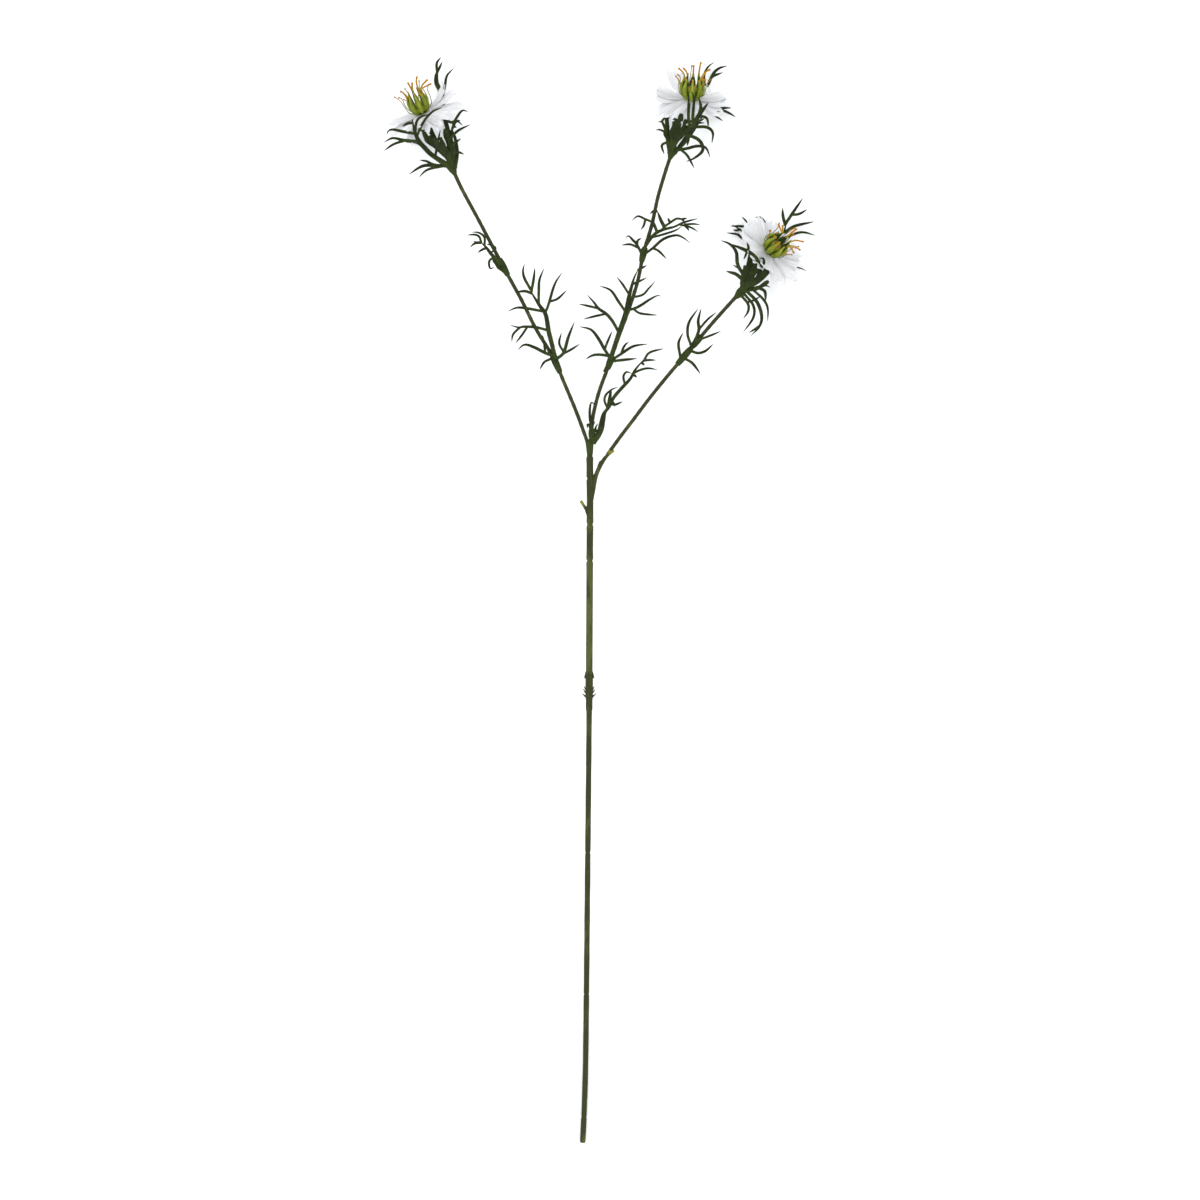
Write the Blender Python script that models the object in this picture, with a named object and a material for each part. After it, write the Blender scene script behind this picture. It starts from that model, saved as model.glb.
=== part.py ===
"""Artificial nigella (love-in-a-mist) spray, lying down: three white flowers on one wired, branched stem.

+Y runs along the stem towards the flowers, +X to the right and +Z up. The origin is on the surface, under the
middle of the spray. Lengths are millimetres until MM turns them into Blender's metres.
"""

import math

import bmesh
import bpy
from mathutils import Vector

MM = 0.001
UP = Vector((0, 0, 1))

# Driving dimensions
FIT = 0.3  # clearance between neighbouring pieces
LOWER_STEM_RADIUS = 1.65
UPPER_STEM_RADIUS = 2.05
BRANCH_RADIUS = 1.2
MAIN_WIRE_RADIUS = 0.6
BRANCH_WIRE_RADIUS = 0.45
COLLAR_RADIUS = 2.6
NEEDLE_FLATNESS = 0.7
NEEDLE_TIP = 0.4  # tip width over root width
SHORT_STRAND = 9.0
OWN_REACH = 1.3  # a strand that starts nearer than this to another grows on it
BLADE_HALF_WIDTH = 1.5  # strands over this are flat blades
TAIL_Y = -360.3
JOIN_Y = -74.0  # where the lower stem plugs into the sleeve
BARB_Y = -58.0
BARB_COLLAR_HALF = 8.0
WIRE_START_Y = -357.3
WIRE_END_Y = 56.0
FORK_Y = 96.0
FORK_HEIGHT = 18.0
HEAD_HEIGHT = 25.0
FLOWER_LIFT = 2.0  # flower centre above its collar
PETAL_LENGTH = 25.5
PETAL_THICKNESS = 0.34
PETALS = 6  # in each of a flower's two layers
WASHER_RADIUS = 4.6
CARPELS = 8
POD_RADIUS = 7.2
FILAMENTS = 8
PEG_RADIUS = 1.5

# Shapes turned about a piece's own axis: (distance along it, radius)
NODE_RING = ((-1.3, 1.5), (0, UPPER_STEM_RADIUS + 0.4), (1.3, 1.5))
RECEPTACLE = (
    (-3.5, BRANCH_RADIUS + FIT), (0.5, 3.1), (3.5, 3.4), (4.5, 2.8), (4.5, BRANCH_RADIUS + FIT),
)
CALYX_DISC = ((-3.0, 0), (-3.0, 2.0), (-0.6, 5.0), (0, 5.0), (0, 0))
POD_CUP = (
    (-4.0, 0), (-4.0, PEG_RADIUS), (4.6, PEG_RADIUS), (4.6, 4.0), (6.5, 6.0), (8.0, 4.5), (8.0, 0),
)
# Parts repeated round a flower: distance along its axis, radius, and half width
CARPEL = ((5.6, 3.4, 1.0), (9.0, 6.5, 1.9), (15.0, POD_RADIUS, 1.9), (20.0, 5.6, 0.8), (26.0, 8.0, 0.45))
FILAMENT = ((3.9, 5.9, 0.45), (8.0, 10.4, 0.35), (16.0, 11.4, 0.35), (20.0, 13.2, 0.55))
CALYX_LOBE = ((-0.5, 3.0, 1.8), (-1.9, 7.0, 3.2), (-6.0, 11.5, 2.4))
CALYX_LOBES = 5
STAMEN_LEVEL = 3.9
STAMEN_WASHER_RADIUS = 6.2
# A petal's half widths along it, the teeth across its end, and each layer's level, turn and leans
PETAL_ROWS = ((0.12, 1.5), (0.55, 5.2), (1.0, 6.0))
PETAL_TEETH = ((-1.0, 0.86), (-0.5, 1.0), (0.0, 0.85), (0.5, 0.97), (1.0, 0.84))
PETAL_LAYERS = {
    "lower": (1.0, 0.5, (-14, -22, -12, -24, -16, -20)),
    "upper": (2.4, 0.0, (10, 2, 14, 5, 12, 0)),
}
# The barbs of each row: distance along the collar, and how far they rise along it
BARBS = ((-5.5, 2.4), (-2.5, 2.4), (0.5, 2.4), (4.5, -2.6))
BARB_ROWS = 4
BARB_TURN = 0.07  # of a row's share of the circle

# Stem centre lines, seen from above
MAIN_LINE = (
    (-11.5, -360.3), (-10.3, -333.9), (-9.5, -302.1), (-8.9, -250.0), (-8.4, -200.0), (-7.9, -150.0),
    (-7.4, -100.0), (-7.2, -74.0), (-7.1, -39.1), (-6.8, 24.5), (-6.6, 64.3), (-6.8, 96.0),
)
LEFT_LINE = (
    (-8.7, 105.6), (-15.4, 123.9), (-23.1, 142.4), (-31.2, 161.0), (-42.4, 179.5), (-51.7, 198.1),
    (-61.8, 216.6), (-71.7, 235.2), (-81.5, 253.7), (-91.5, 272.2), (-97.0, 284.0),
)
CENTRE_LINE = (
    (-5.3, 105.6), (-5.0, 119.2), (-0.9, 137.1), (5.9, 155.7), (12.3, 174.2), (19.2, 192.8),
    (25.0, 211.3), (28.8, 229.8), (34.3, 248.4), (38.4, 267.0), (43.9, 285.5), (47.0, 294.5),
)
RIGHT_LINE = (
    (7.75, 100.3), (14.3, 109.3), (21.9, 119.2), (31.9, 132.5), (42.5, 145.7), (53.7, 159.0),
    (64.9, 172.2), (76.3, 185.5), (87.7, 198.2), (91.3, 201.8),
)
CROWN_ARMS = {  # the moulded arms that carry the branches
    "left": ((-6.8, 90.0), (-7.2, 96.0), (-8.55, 105.2)),
    "centre": ((-6.8, 90.0), (-6.2, 96.0), (-5.3, 105.2)),
    "right": ((-6.0, 66.0), (-4.6, 73.0), (-3.2, 80.5), (-1.2, 86.3), (2.3, 92.6), (7.4, 99.8)),
}
SLEEVE_Y = (JOIN_Y, -68.0, -39.1, 24.5, 64.3, FORK_Y)
NODE_RINGS_Y = (26.0, 50.0, 80.5, 95.0)
STUBS = (((-7.0, 56.5), (-12.8, 65.8)), ((3.6, 94.6), (9.0, 98.9)))  # side shoots that are cut off
STUB_RADII = (0.9, 1.0, 0.8)

# A strand of a leaf: half width, rise from root to tip, and its points seen from above. A third number in a
# point is its height above the floor. The first strand is the leaf's rib.
LEFT_LOWER_LEAF = (
    (0.9, 3, ((-29.5, 160), (-32, 170), (-34, 178), (-36, 189), (-40, 195), (-45, 203), (-46, 206))),
    (0.6, -2, ((-46, 205.5), (-50, 213), (-51, 218), (-50, 222.5))),
    (0.6, 5, ((-45.5, 204), (-44, 212), (-43, 220))),
    (0.6, 3, ((-45, 203), (-50, 204.5), (-56, 203.5))),
    (0.6, 7, ((-40.5, 196), (-40.5, 205), (-40, 212), (-37, 219.5))),
    (0.6, 2, ((-36, 190), (-34, 196), (-30, 209), (-25, 217))),
    (0.5, 4, ((-33.3, 197.5), (-28, 199.5), (-22, 205))),
    (0.6, 4, ((-37, 191), (-48, 193), (-55, 193.5), (-61, 191))),
    (0.6, 2, ((-34, 178.5), (-42, 180.5), (-50, 181), (-54, 180.5), (-59.5, 182))),
    (0.5, -3, ((-53, 180.6), (-57.5, 176), (-58.5, 171))),
    (0.5, 3, ((-48, 180.9), (-52, 175), (-56, 170))),
    (0.7, 4, ((-31, 161), (-36, 163.5), (-44, 167.5), (-50, 169), (-54.5, 165.5))),
    (0.5, -2, ((-33, 159.5), (-37, 157.5), (-40, 152.5))),
    (0.5, 5, ((-36.3, 163.7), (-37, 170), (-38, 175.5))),
    (0.7, 1, ((-28, 160), (-24, 164), (-21, 174), (-17, 184))),
    (0.5, 4, ((-24, 164.2), (-27, 170), (-25.5, 177))),
    (0.5, -3, ((-25, 163.2), (-19, 166), (-13.5, 169.5))),
)
LEFT_UPPER_LEAF = (
    (0.8, 3, ((-66, 222), (-68, 225), (-72, 229), (-75, 233), (-79, 237))),
    (0.5, 2, ((-78.5, 236.5), (-80, 240.5), (-83, 241.8), (-88, 241.5))),
    (0.5, 4, ((-76.5, 234.5), (-76.5, 240), (-80, 243), (-85, 243.5))),
    (0.5, -3, ((-78.5, 236.4), (-83, 236), (-86, 233.5))),
    (0.5, -3, ((-75, 233), (-78, 232), (-81, 230))),
    (0.5, -4, ((-70, 227), (-73, 225), (-73.5, 222), (-72.5, 219.5), (-70, 220.5))),
    (0.4, 2, ((-72.5, 229.7), (-69, 233), (-74, 236))),
)
CENTRE_LOWER_LEAF = (
    (0.9, 1, ((7, 160), (13, 178), (17, 190), (19, 200), (20.5, 206), (22.5, 213), (25, 218.5))),
    (0.7, 3, ((6, 160), (3, 166), (-1, 173), (-6, 179), (-13.5, 181))),
    (0.6, -2, ((5, 161), (0, 162.5), (-5, 162), (-9.5, 159.5))),
    (0.5, 5, ((3.2, 166), (5, 171), (8, 178))),
    (0.6, 3, ((9, 159.5), (14, 163), (22, 168), (31.5, 169.5))),
    (0.5, 5, ((14, 163), (16, 168), (19, 171))),
    (0.6, -2, ((9, 158), (15, 159), (24.5, 160))),
    (0.7, 4, ((12.5, 177), (8, 185), (4, 189.5), (-1, 193), (-4, 197), (-8.5, 202))),
    (0.5, -2, ((-1, 193), (-7, 194.5), (-14, 196))),
    (0.5, -3, ((4, 189.5), (-3, 188), (-11, 186))),
    (0.6, 5, ((17, 190.5), (12, 198), (7, 205), (-0.5, 208))),
    (0.6, 2, ((17.3, 191.5), (25, 194), (33, 199), (38, 201.5), (40.5, 201))),
    (0.5, 5, ((22, 192.9), (26, 190), (32, 189), (38, 188.5))),
    (0.5, 3, ((19.5, 202), (15, 209), (11, 214))),
    (0.5, 3, ((19, 200), (28, 202), (32, 206), (36.5, 211))),
    (0.5, 2, ((21.5, 209), (27, 211.5), (31, 213.5))),
)
CENTRE_UPPER_LEAF = (
    (0.8, 4, ((28.5, 231), (31, 237), (36, 242), (40, 244), (48, 246), (55, 248.5))),
    (0.6, 3, ((27, 230), (24, 236), (22, 238), (19, 241), (17, 239.5))),
    (0.5, -3, ((25.5, 233), (20, 235.5), (14, 235))),
    (0.5, 2, ((24.5, 235), (25, 238), (27.5, 239.5))),
    (0.6, -1, ((30, 229.5), (35, 233), (42, 239), (50, 241.5), (55, 240), (59.5, 236.5))),
    (0.5, -4, ((35, 233), (39, 231), (44, 226))),
    (0.5, 4, ((36, 242), (45, 243.5), (53, 243.5))),
    (0.5, 3, ((54, 248.2), (60, 252), (65, 252.5))),
    (0.5, -1, ((54.5, 248.4), (61, 249.5), (66, 248.5))),
    (0.5, -4, ((54, 248.2), (61, 247), (65, 243.5))),
    (0.7, 6, ((32, 238.3), (34, 246), (36, 252), (38, 257.5))),
    (0.6, 4, ((37, 255), (40, 252), (42, 248.5), (46, 250.5), (51, 252.5), (54, 252))),
    (0.5, -2, ((35, 249.5), (30, 252), (25, 254), (21, 251))),
    (0.5, -2, ((30, 251.9), (29, 248), (27, 245))),
)
FORK_LEAF = (
    (1.0, -1, ((-4, 108), (1, 112), (1.5, 118), (3, 124), (6, 128), (9, 134), (14, 140), (20, 146.5),
               (23, 152), (27, 157), (30, 160))),
    (0.5, 3, ((29.5, 159.4), (33, 164), (42, 166.5))),
    (0.5, -2, ((28.5, 158.4), (32, 159), (37, 159))),
    (0.5, 4, ((22, 150.2), (27, 152.5), (32, 153.5), (38, 152.5))),
    (0.5, 5, ((16.5, 142.7), (15.5, 148), (17.5, 151), (21, 150))),
    (0.5, 6, ((5, 127), (3, 132), (4, 136), (8, 139.5), (12, 141))),
    (0.8, 4, ((5.5, 127.5), (6, 131), (7.5, 140))),
    (0.5, -4, ((7, 130), (10, 129.5), (15, 131.5))),
)
RIGHT_LEAF = (
    (0.6, 6, ((53, 161), (52, 170), (55, 177))),
    (0.6, 4, ((60, 169), (58, 176), (59, 184), (65, 193))),
    (0.7, 3, ((63, 172), (65.5, 179), (65, 185), (67, 193))),
    (0.5, -1, ((65.5, 179), (71, 185.5), (77, 190.5))),
    (0.5, -3, ((66, 172.5), (74, 175.5), (80, 178))),
    (0.6, 3, ((60, 165), (65, 163.5), (70, 165), (75, 169.5))),
    (0.6, -4, ((56, 160), (61, 157), (65, 152), (66.5, 149.5))),
)
# The ferny bracts that cage each flower
LEFT_BRACTS = (
    (1.1, 25, ((-100, 287), (-110, 293.5), (-116, 299), (-120, 304), (-122.5, 310), (-124, 317.5))),
    (0.6, 1, ((-123.5, 315), (-127, 314.5), (-130.5, 312.5))),
    (0.7, -9, ((-121.7, 308), (-130, 309.5), (-137, 311), (-140, 310), (-141, 307.5))),
    (0.7, -5, ((-119.3, 303), (-130, 304), (-137, 305.3), (-143, 302.5))),
    (0.6, -5, ((-128, 303.8), (-136, 301.5), (-143, 297))),
    (0.6, 7, ((-122, 309), (-121, 316), (-118, 319), (-113, 320.5))),
    (0.6, 9, ((-121, 306), (-117, 315), (-111, 322), (-104, 325))),
    (0.8, -6, ((-99, 286), (-106, 287.5), (-117, 287.5), (-126.5, 282))),
    (0.6, 2, ((-108, 287.6), (-112, 289), (-115, 290.5), (-119.5, 291.2))),
    (0.6, -4, ((-103, 287), (-114, 285), (-120, 280))),
    (2.0, 10, ((-97, 287), (-97, 297), (-99, 303), (-102, 311))),
    (0.6, 2, ((-98.5, 301), (-96, 302.5), (-92, 305))),
    (0.6, 4, ((-99.3, 304), (-94, 310), (-86, 314))),
    (0.6, -3, ((-97, 296), (-94, 296.3), (-90, 295))),
    (0.8, -5, ((-95.5, 286), (-94.5, 296), (-96, 306), (-98, 311), (-97, 317))),
    (0.5, -2, ((-97.8, 311.5), (-95, 317), (-91, 314.5))),
    (0.6, -2, ((-97.3, 315), (-94, 321), (-91, 324.3), (-87.5, 323.5))),
    (1.0, 0, ((-96, 288), (-96, 298, 14), (-97, 312, 5), (-100, 325, 4), (-104, 335, 5), (-108, 341, 7),
              (-109, 347, 8), (-108, 352, 9))),
    (0.6, 1, ((-108.2, 351), (-108.3, 356), (-105.5, 360))),
    (0.6, 3, ((-108.7, 348), (-106, 354), (-104.5, 357))),
    (0.6, 3, ((-103, 332.5), (-102.8, 342), (-101.5, 348), (-97, 353))),
    (0.9, 0, ((-100, 286), (-107, 291.5, 16), (-114, 297.5, 9), (-121, 303.2, 3), (-129, 304, 1.2))),
    (0.6, 0, ((-116, 299), (-120.2, 304.5, 5), (-122.3, 310, 3), (-122.5, 315, 1.5))),
    (0.6, 0, ((-110, 292.5), (-108, 302, 6), (-106, 312, 1.5))),
)
CENTRE_BRACTS = (
    (2.2, 9, ((47.5, 296), (44.5, 303), (43, 309), (44.5, 314))),
    (0.6, 3, ((43.3, 310), (41, 316), (38.5, 316))),
    (0.5, -2, ((43, 308.5), (40, 311), (37, 311))),
    (0.6, -3, ((45.5, 303), (41, 301), (42.5, 295))),
    (0.5, 2, ((44, 312.5), (44.5, 317), (46, 319.5))),
    (2.2, 20, ((50.5, 296), (53, 303), (57, 308), (61, 314.5))),
    (1.0, 9, ((60, 313.5), (66, 321), (71.5, 328))),
    (0.7, 8, ((59.5, 312.5), (58.5, 318), (58.5, 325), (58.5, 334))),
    (0.7, 8, ((60.5, 314), (61.3, 320), (62, 331), (60, 336))),
    (0.7, 2, ((65, 319.5), (66.5, 326), (65, 332))),
    (0.6, -2, ((65, 319.5), (69, 319), (71, 317), (71.5, 312))),
    (0.7, -9, ((60, 313), (70, 312.5), (74.5, 309), (74, 302))),
    (0.8, -6, ((56, 307), (64, 305), (67.5, 301), (67.5, 296.5), (62, 292), (57, 290))),
    (0.7, -4, ((51, 297.5), (58, 299), (64, 300.5), (70, 299.5), (73, 293))),
    (0.6, -6, ((53.5, 298), (58, 294), (62.5, 286))),
    (1.0, 0, ((50, 296), (56, 305, 14), (62, 314, 8), (67, 320.5, 5), (72, 323.3, 4), (77.5, 324.8, 4))),
    (0.6, 0, ((76.5, 324.5), (80, 326.2, 4), (83.5, 326.6, 4), (87, 326.5, 5))),
    (0.6, 0, ((77, 324.7), (81.5, 324.8, 4), (86, 323, 4), (90, 320.5, 4))),
    (1.0, 0, ((49, 296), (57, 305, 12), (65, 318, 4), (70, 334, 3), (72.5, 345, 5))),
    (0.7, 1, ((72, 342), (75, 349), (79, 352.8), (84.5, 354.5))),
    (0.6, 2, ((72.4, 344), (75, 347.5), (81.5, 350))),
    (0.6, 2, ((70.5, 336), (69, 347), (71.5, 353.5), (76, 357))),
    (1.0, 0, ((46, 296), (45, 305, 12), (44.5, 316, 5), (43, 331, 2), (38, 338.3, 1.5))),
)
RIGHT_BRACTS = (
    (2.4, 12, ((93, 204), (95, 210), (96.5, 216), (97, 223))),
    (0.8, 8, ((96, 214), (91, 222), (90, 230), (86, 235), (80, 237.5))),
    (0.8, -2, ((95, 211.5), (90, 215.5), (83.5, 217.5))),
    (2.2, 8, ((95, 205), (100, 211), (104, 218), (104, 224))),
    (0.8, 2, ((104, 221), (102, 227), (97, 230.5), (86, 235.5))),
    (0.6, 5, ((97.5, 230), (98, 233), (97, 236))),
    (0.6, -1, ((104, 221), (108, 222), (108, 225.5), (105, 226))),
    (2.2, 14, ((95, 203.5), (103, 207), (108, 212), (111, 216))),
    (0.8, -5, ((94, 201), (98, 196), (98, 191), (95, 186.5))),
    (0.8, -8, ((96, 202.5), (101.5, 195), (101.5, 187), (95, 177.5))),
    (0.9, -3, ((97, 204), (104, 197), (107, 188), (105.5, 181), (100, 175))),
    (0.5, -2, ((105.5, 182), (102, 179), (98.5, 177))),
    (0.7, -4, ((101, 205.8), (108, 199), (111, 193), (111, 184.5))),
    (0.7, 3, ((104, 208), (109, 204), (109.5, 197.5))),
    (0.6, 3, ((105.5, 209.5), (108.5, 208), (112.5, 207))),
    (1.0, 0, ((93, 205), (96, 213, 12), (99, 225, 5), (100.5, 236, 3), (98.5, 242, 3), (95, 244.5, 3),
              (91.5, 246.8, 3), (88, 249, 4))),
    (0.6, 0, ((100.3, 237), (94, 240.5, 3), (91, 242.7, 3), (84, 243.7, 4))),
    (1.0, 0, ((93, 206), (98, 217, 10), (104, 230, 3), (109, 243, 2), (111, 250, 3))),
    (0.6, 0, ((110.5, 248.5), (107, 253.5, 4), (103, 254, 5))),
    (1.0, 0, ((95, 205), (108, 214, 8), (118, 228, 3), (122, 243, 5), (123.5, 251, 10))),
    (0.7, 2, ((123, 248.5), (121.5, 254), (121, 260))),
    (0.7, 3, ((123.3, 250), (128, 257), (134.5, 266.5))),
    (0.6, 3, ((127, 255.5), (132, 256), (137.5, 259))),
    (0.7, 3, ((122, 243.5), (129, 248), (142, 251))),
    (0.6, 1, ((121, 239.5), (133, 244), (143, 242))),
    (0.8, 0, ((96, 204), (104, 212, 9), (113, 218, 4), (121, 219.5, 3), (128, 220.8, 2),
              (133, 220.3, 2), (137, 218.5, 2))),
    (0.6, 0, ((121, 219.5), (125, 216.2, 3), (130, 211.5, 3))),
)

HEADS = {
    # flower centre and facing seen from above (degrees right of +Y), tilt towards +Z, the first petal's
    # angle, and how much further the petals nearest the top lean forward
    "left": {
        "centre": (-116.5, 320.5), "facing": -25, "tilt": 20, "start": 8, "front_lean": 0,
        "line": LEFT_LINE, "bracts": LEFT_BRACTS,
    },
    "centre": {
        "centre": (60.5, 330.0), "facing": 4, "tilt": 30, "start": 0, "front_lean": 0,
        "line": CENTRE_LINE, "bracts": CENTRE_BRACTS,
    },
    "right": {
        "centre": (111.5, 230.5), "facing": 51, "tilt": 46, "start": 0, "front_lean": 24,
        "line": RIGHT_LINE, "bracts": RIGHT_BRACTS,
    },
}
LEAVES = {
    # line it grows on, where its collar starts and ends along y, bulges of the collar, strands
    "left_lower": (LEFT_LINE, 152.0, 161.0, 1, LEFT_LOWER_LEAF),
    "left_upper": (LEFT_LINE, 216.5, 225.0, 1, LEFT_UPPER_LEAF),
    "centre_lower": (CENTRE_LINE, 152.5, 161.0, 1, CENTRE_LOWER_LEAF),
    "centre_upper": (CENTRE_LINE, 223.5, 232.0, 1, CENTRE_UPPER_LEAF),
    "fork": (CENTRE_LINE, 106.2, 112.5, 1, FORK_LEAF),
    "right": (RIGHT_LINE, 157.5, 174.0, 2, RIGHT_LEAF),
}


# Routes

def height(y, line):
    """Height of a stem's centre: the tail lies on the floor and the spray rises evenly to its heads."""
    if y <= FORK_Y:
        return LOWER_STEM_RADIUS + (FORK_HEIGHT - LOWER_STEM_RADIUS) * (y - TAIL_Y) / (FORK_Y - TAIL_Y)
    head_y = line[-1][1]
    return FORK_HEIGHT + (HEAD_HEIGHT - FORK_HEIGHT) * (y - FORK_Y) / (head_y - FORK_Y)


def raised(plan, line):
    return [Vector((x, y, height(y, line))) for x, y in plan]


def smooth(points, steps):
    """A Catmull-Rom curve through the points, with so many steps between each two."""
    ends = [2 * points[0] - points[1], *points, 2 * points[-1] - points[-2]]
    found = []
    for a, b, c, d in zip(ends, ends[1:], ends[2:], ends[3:]):
        for i in range(steps):
            t = i / steps
            found.append((2 * b + (c - a) * t + (2 * a - 5 * b + 4 * c - d) * t**2
                          + (3 * b - a - 3 * c + d) * t**3) / 2)
    return [*found, points[-1].copy()]


def spaced(path, count):
    """The path as count points at equal distances."""
    lengths = [0.0]
    for a, b in zip(path, path[1:]):
        lengths.append(lengths[-1] + (b - a).length)
    found, i = [], 0
    for k in range(count):
        target = lengths[-1] * k / (count - 1)
        while i < len(path) - 2 and lengths[i + 1] < target:
            i += 1
        share = (target - lengths[i]) / max(lengths[i + 1] - lengths[i], 1e-9)
        found.append(path[i].lerp(path[i + 1], min(share, 1.0)))
    return found


def nearest(path, point, flat=False):
    """The nearest place on a polyline, and its distance, which may be measured seen from above."""
    def seen(v):
        return v.to_2d() if flat else v
    best, least = path[0], math.inf
    for a, b in zip(path, path[1:]):
        run = seen(b) - seen(a)
        share = max(0.0, min(1.0, (seen(point) - seen(a)).dot(run) / max(run.length_squared, 1e-12)))
        place = a.lerp(b, share)
        distance = (seen(place) - seen(point)).length
        if distance < least:
            best, least = place, distance
    return best, least


def at_y(path, y):
    """Where a path passes y."""
    for a, b in zip(path, path[1:]):
        if a.y <= y <= b.y:
            return a.lerp(b, (y - a.y) / (b.y - a.y))
    return path[-1].copy() if y > path[-1].y else path[0].copy()


def stem_way(path, y):
    """The stem's direction at y."""
    return (at_y(path, y + 1) - at_y(path, y - 1)).normalized()


# Solids

def frames(path):
    """A sideways and an outward direction for each point of a path, which turn no more than the path does."""
    found, across = [], None
    for i in range(len(path)):
        along = (path[min(i + 1, len(path) - 1)] - path[max(i - 1, 0)]).normalized()
        if across is None:
            across = along.cross(UP)
            if across.length < 0.05:
                across = Vector((1, 0, 0))
        across = (across - along * across.dot(along)).normalized()
        found.append((across, across.cross(along)))
    return found


def ring(mesh, centre, across, out, half_width, half_height, sides):
    turn = math.tau / sides
    return [mesh.verts.new(MM * (centre + across * half_width * math.cos(turn * i)
                                 + out * half_height * math.sin(turn * i))) for i in range(sides)]


def bridge(mesh, first, second):
    for i in range(len(first)):
        j = (i + 1) % len(first)
        mesh.faces.new((first[i], first[j], second[j], second[i]))


def rod(mesh, path, half_widths, sides=4, flatness=1.0):
    """A closed rod along a path."""
    rings = [ring(mesh, point, across, out, w, w * flatness, sides)
             for point, (across, out), w in zip(path, frames(path), half_widths)]
    for first, second in zip(rings, rings[1:]):
        bridge(mesh, first, second)
    mesh.faces.new(rings[0])
    mesh.faces.new(rings[-1])


def pipe(mesh, path, outer, inner, sides=10):
    """A tube along a path, open at both ends."""
    outside, inside = [], []
    for point, (across, out) in zip(path, frames(path)):
        outside.append(ring(mesh, point, across, out, outer, outer, sides))
        inside.append(ring(mesh, point, across, out, inner, inner, sides))
    for walls in (outside, inside):
        for first, second in zip(walls, walls[1:]):
            bridge(mesh, first, second)
    bridge(mesh, outside[0], inside[0])
    bridge(mesh, outside[-1], inside[-1])


def turned(mesh, base, axis, profile, sides=10):
    """A profile of (distance along, radius) turned about an axis: a ring, or a solid if its ends are at 0."""
    axis = axis.normalized()
    across = axis.orthogonal().normalized()
    out = axis.cross(across)
    rings = []
    for along, radius in profile:
        centre = base + axis * along
        if radius == 0:
            rings.append([mesh.verts.new(MM * centre)])
        else:
            rings.append(ring(mesh, centre, across, out, radius, radius, sides))
    solid = len(rings[0]) == 1
    for first, second in zip(rings, rings[1:] if solid else rings[1:] + rings[:1]):
        if len(first) == len(second):
            bridge(mesh, first, second)
            continue
        pole, around = (first[0], second) if len(first) == 1 else (second[0], first)
        for i in range(sides):
            mesh.faces.new((pole, around[i], around[(i + 1) % sides]))


def slab(mesh, rows, thickness):
    """A thin closed sheet from rows of (place, direction of its thickness)."""
    top = [[mesh.verts.new(MM * (p + n * thickness / 2)) for p, n in row] for row in rows]
    bottom = [[mesh.verts.new(MM * (p - n * thickness / 2)) for p, n in row] for row in rows]
    last_row, last = len(rows) - 1, len(rows[0]) - 1
    for grid in (top, bottom):
        for i in range(last_row):
            for j in range(last):
                mesh.faces.new((grid[i][j], grid[i][j + 1], grid[i + 1][j + 1], grid[i + 1][j]))
    rim = [(0, j) for j in range(last)]
    rim += [(i, last) for i in range(last_row)]
    rim += [(last_row, j) for j in range(last, 0, -1)]
    rim += [(i, 0) for i in range(last_row, 0, -1)]
    for (a, b), (c, d) in zip(rim, rim[1:] + rim[:1]):
        mesh.faces.new((top[a][b], top[c][d], bottom[c][d], bottom[a][b]))


# Objects

def material(name, colour, roughness, metallic=0.0):
    made = bpy.data.materials.new(name)
    made.use_nodes = True
    shader = made.node_tree.nodes["Principled BSDF"]
    shader.inputs["Base Color"].default_value = (*colour, 1)
    shader.inputs["Roughness"].default_value = roughness
    shader.inputs["Metallic"].default_value = metallic
    return made


def piece(name, mesh, finish=None):
    """An object of the mesh under construction, faces out. Without a finish it is a hidden helper."""
    bmesh.ops.recalc_face_normals(mesh, faces=mesh.faces)
    data = bpy.data.meshes.new(name)
    mesh.to_mesh(data)
    mesh.free()
    made = bpy.data.objects.new(name, data)
    bpy.context.scene.collection.objects.link(made)
    if finish is None:
        made.hide_render = True
        made.display_type = "WIRE"
    else:
        data.materials.append(finish)
        data.shade_smooth()
        data.set_sharp_from_angle(angle=math.radians(40))
    return made


def boolean(target, operation, other):
    """Adds a Boolean of a helper to an object."""
    modifier = target.modifiers.new(operation.capitalize(), "BOOLEAN")
    modifier.operation = operation
    modifier.object = other
    modifier.use_self = operation == "UNION"


# Stem

def lower_stem(finish):
    """The stem's lower half, a tube on the wire."""
    end = JOIN_Y - FIT
    whole = raised(MAIN_LINE, MAIN_LINE)
    path = [p for p in whole if p.y < end - 2] + [at_y(whole, end)]
    mesh = bmesh.new()
    pipe(mesh, path, LOWER_STEM_RADIUS, MAIN_WIRE_RADIUS + FIT, 8)
    piece("lower_stem", mesh, finish)


def main_wire(finish):
    """The wire inside the stem."""
    whole = raised(MAIN_LINE, MAIN_LINE)
    between = [p for p in whole if WIRE_START_Y + 2 < p.y < WIRE_END_Y - 2]
    path = [at_y(whole, WIRE_START_Y), *between, at_y(whole, WIRE_END_Y)]
    mesh = bmesh.new()
    rod(mesh, path, [MAIN_WIRE_RADIUS] * len(path), 6)
    piece("main_wire", mesh, finish)


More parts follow.
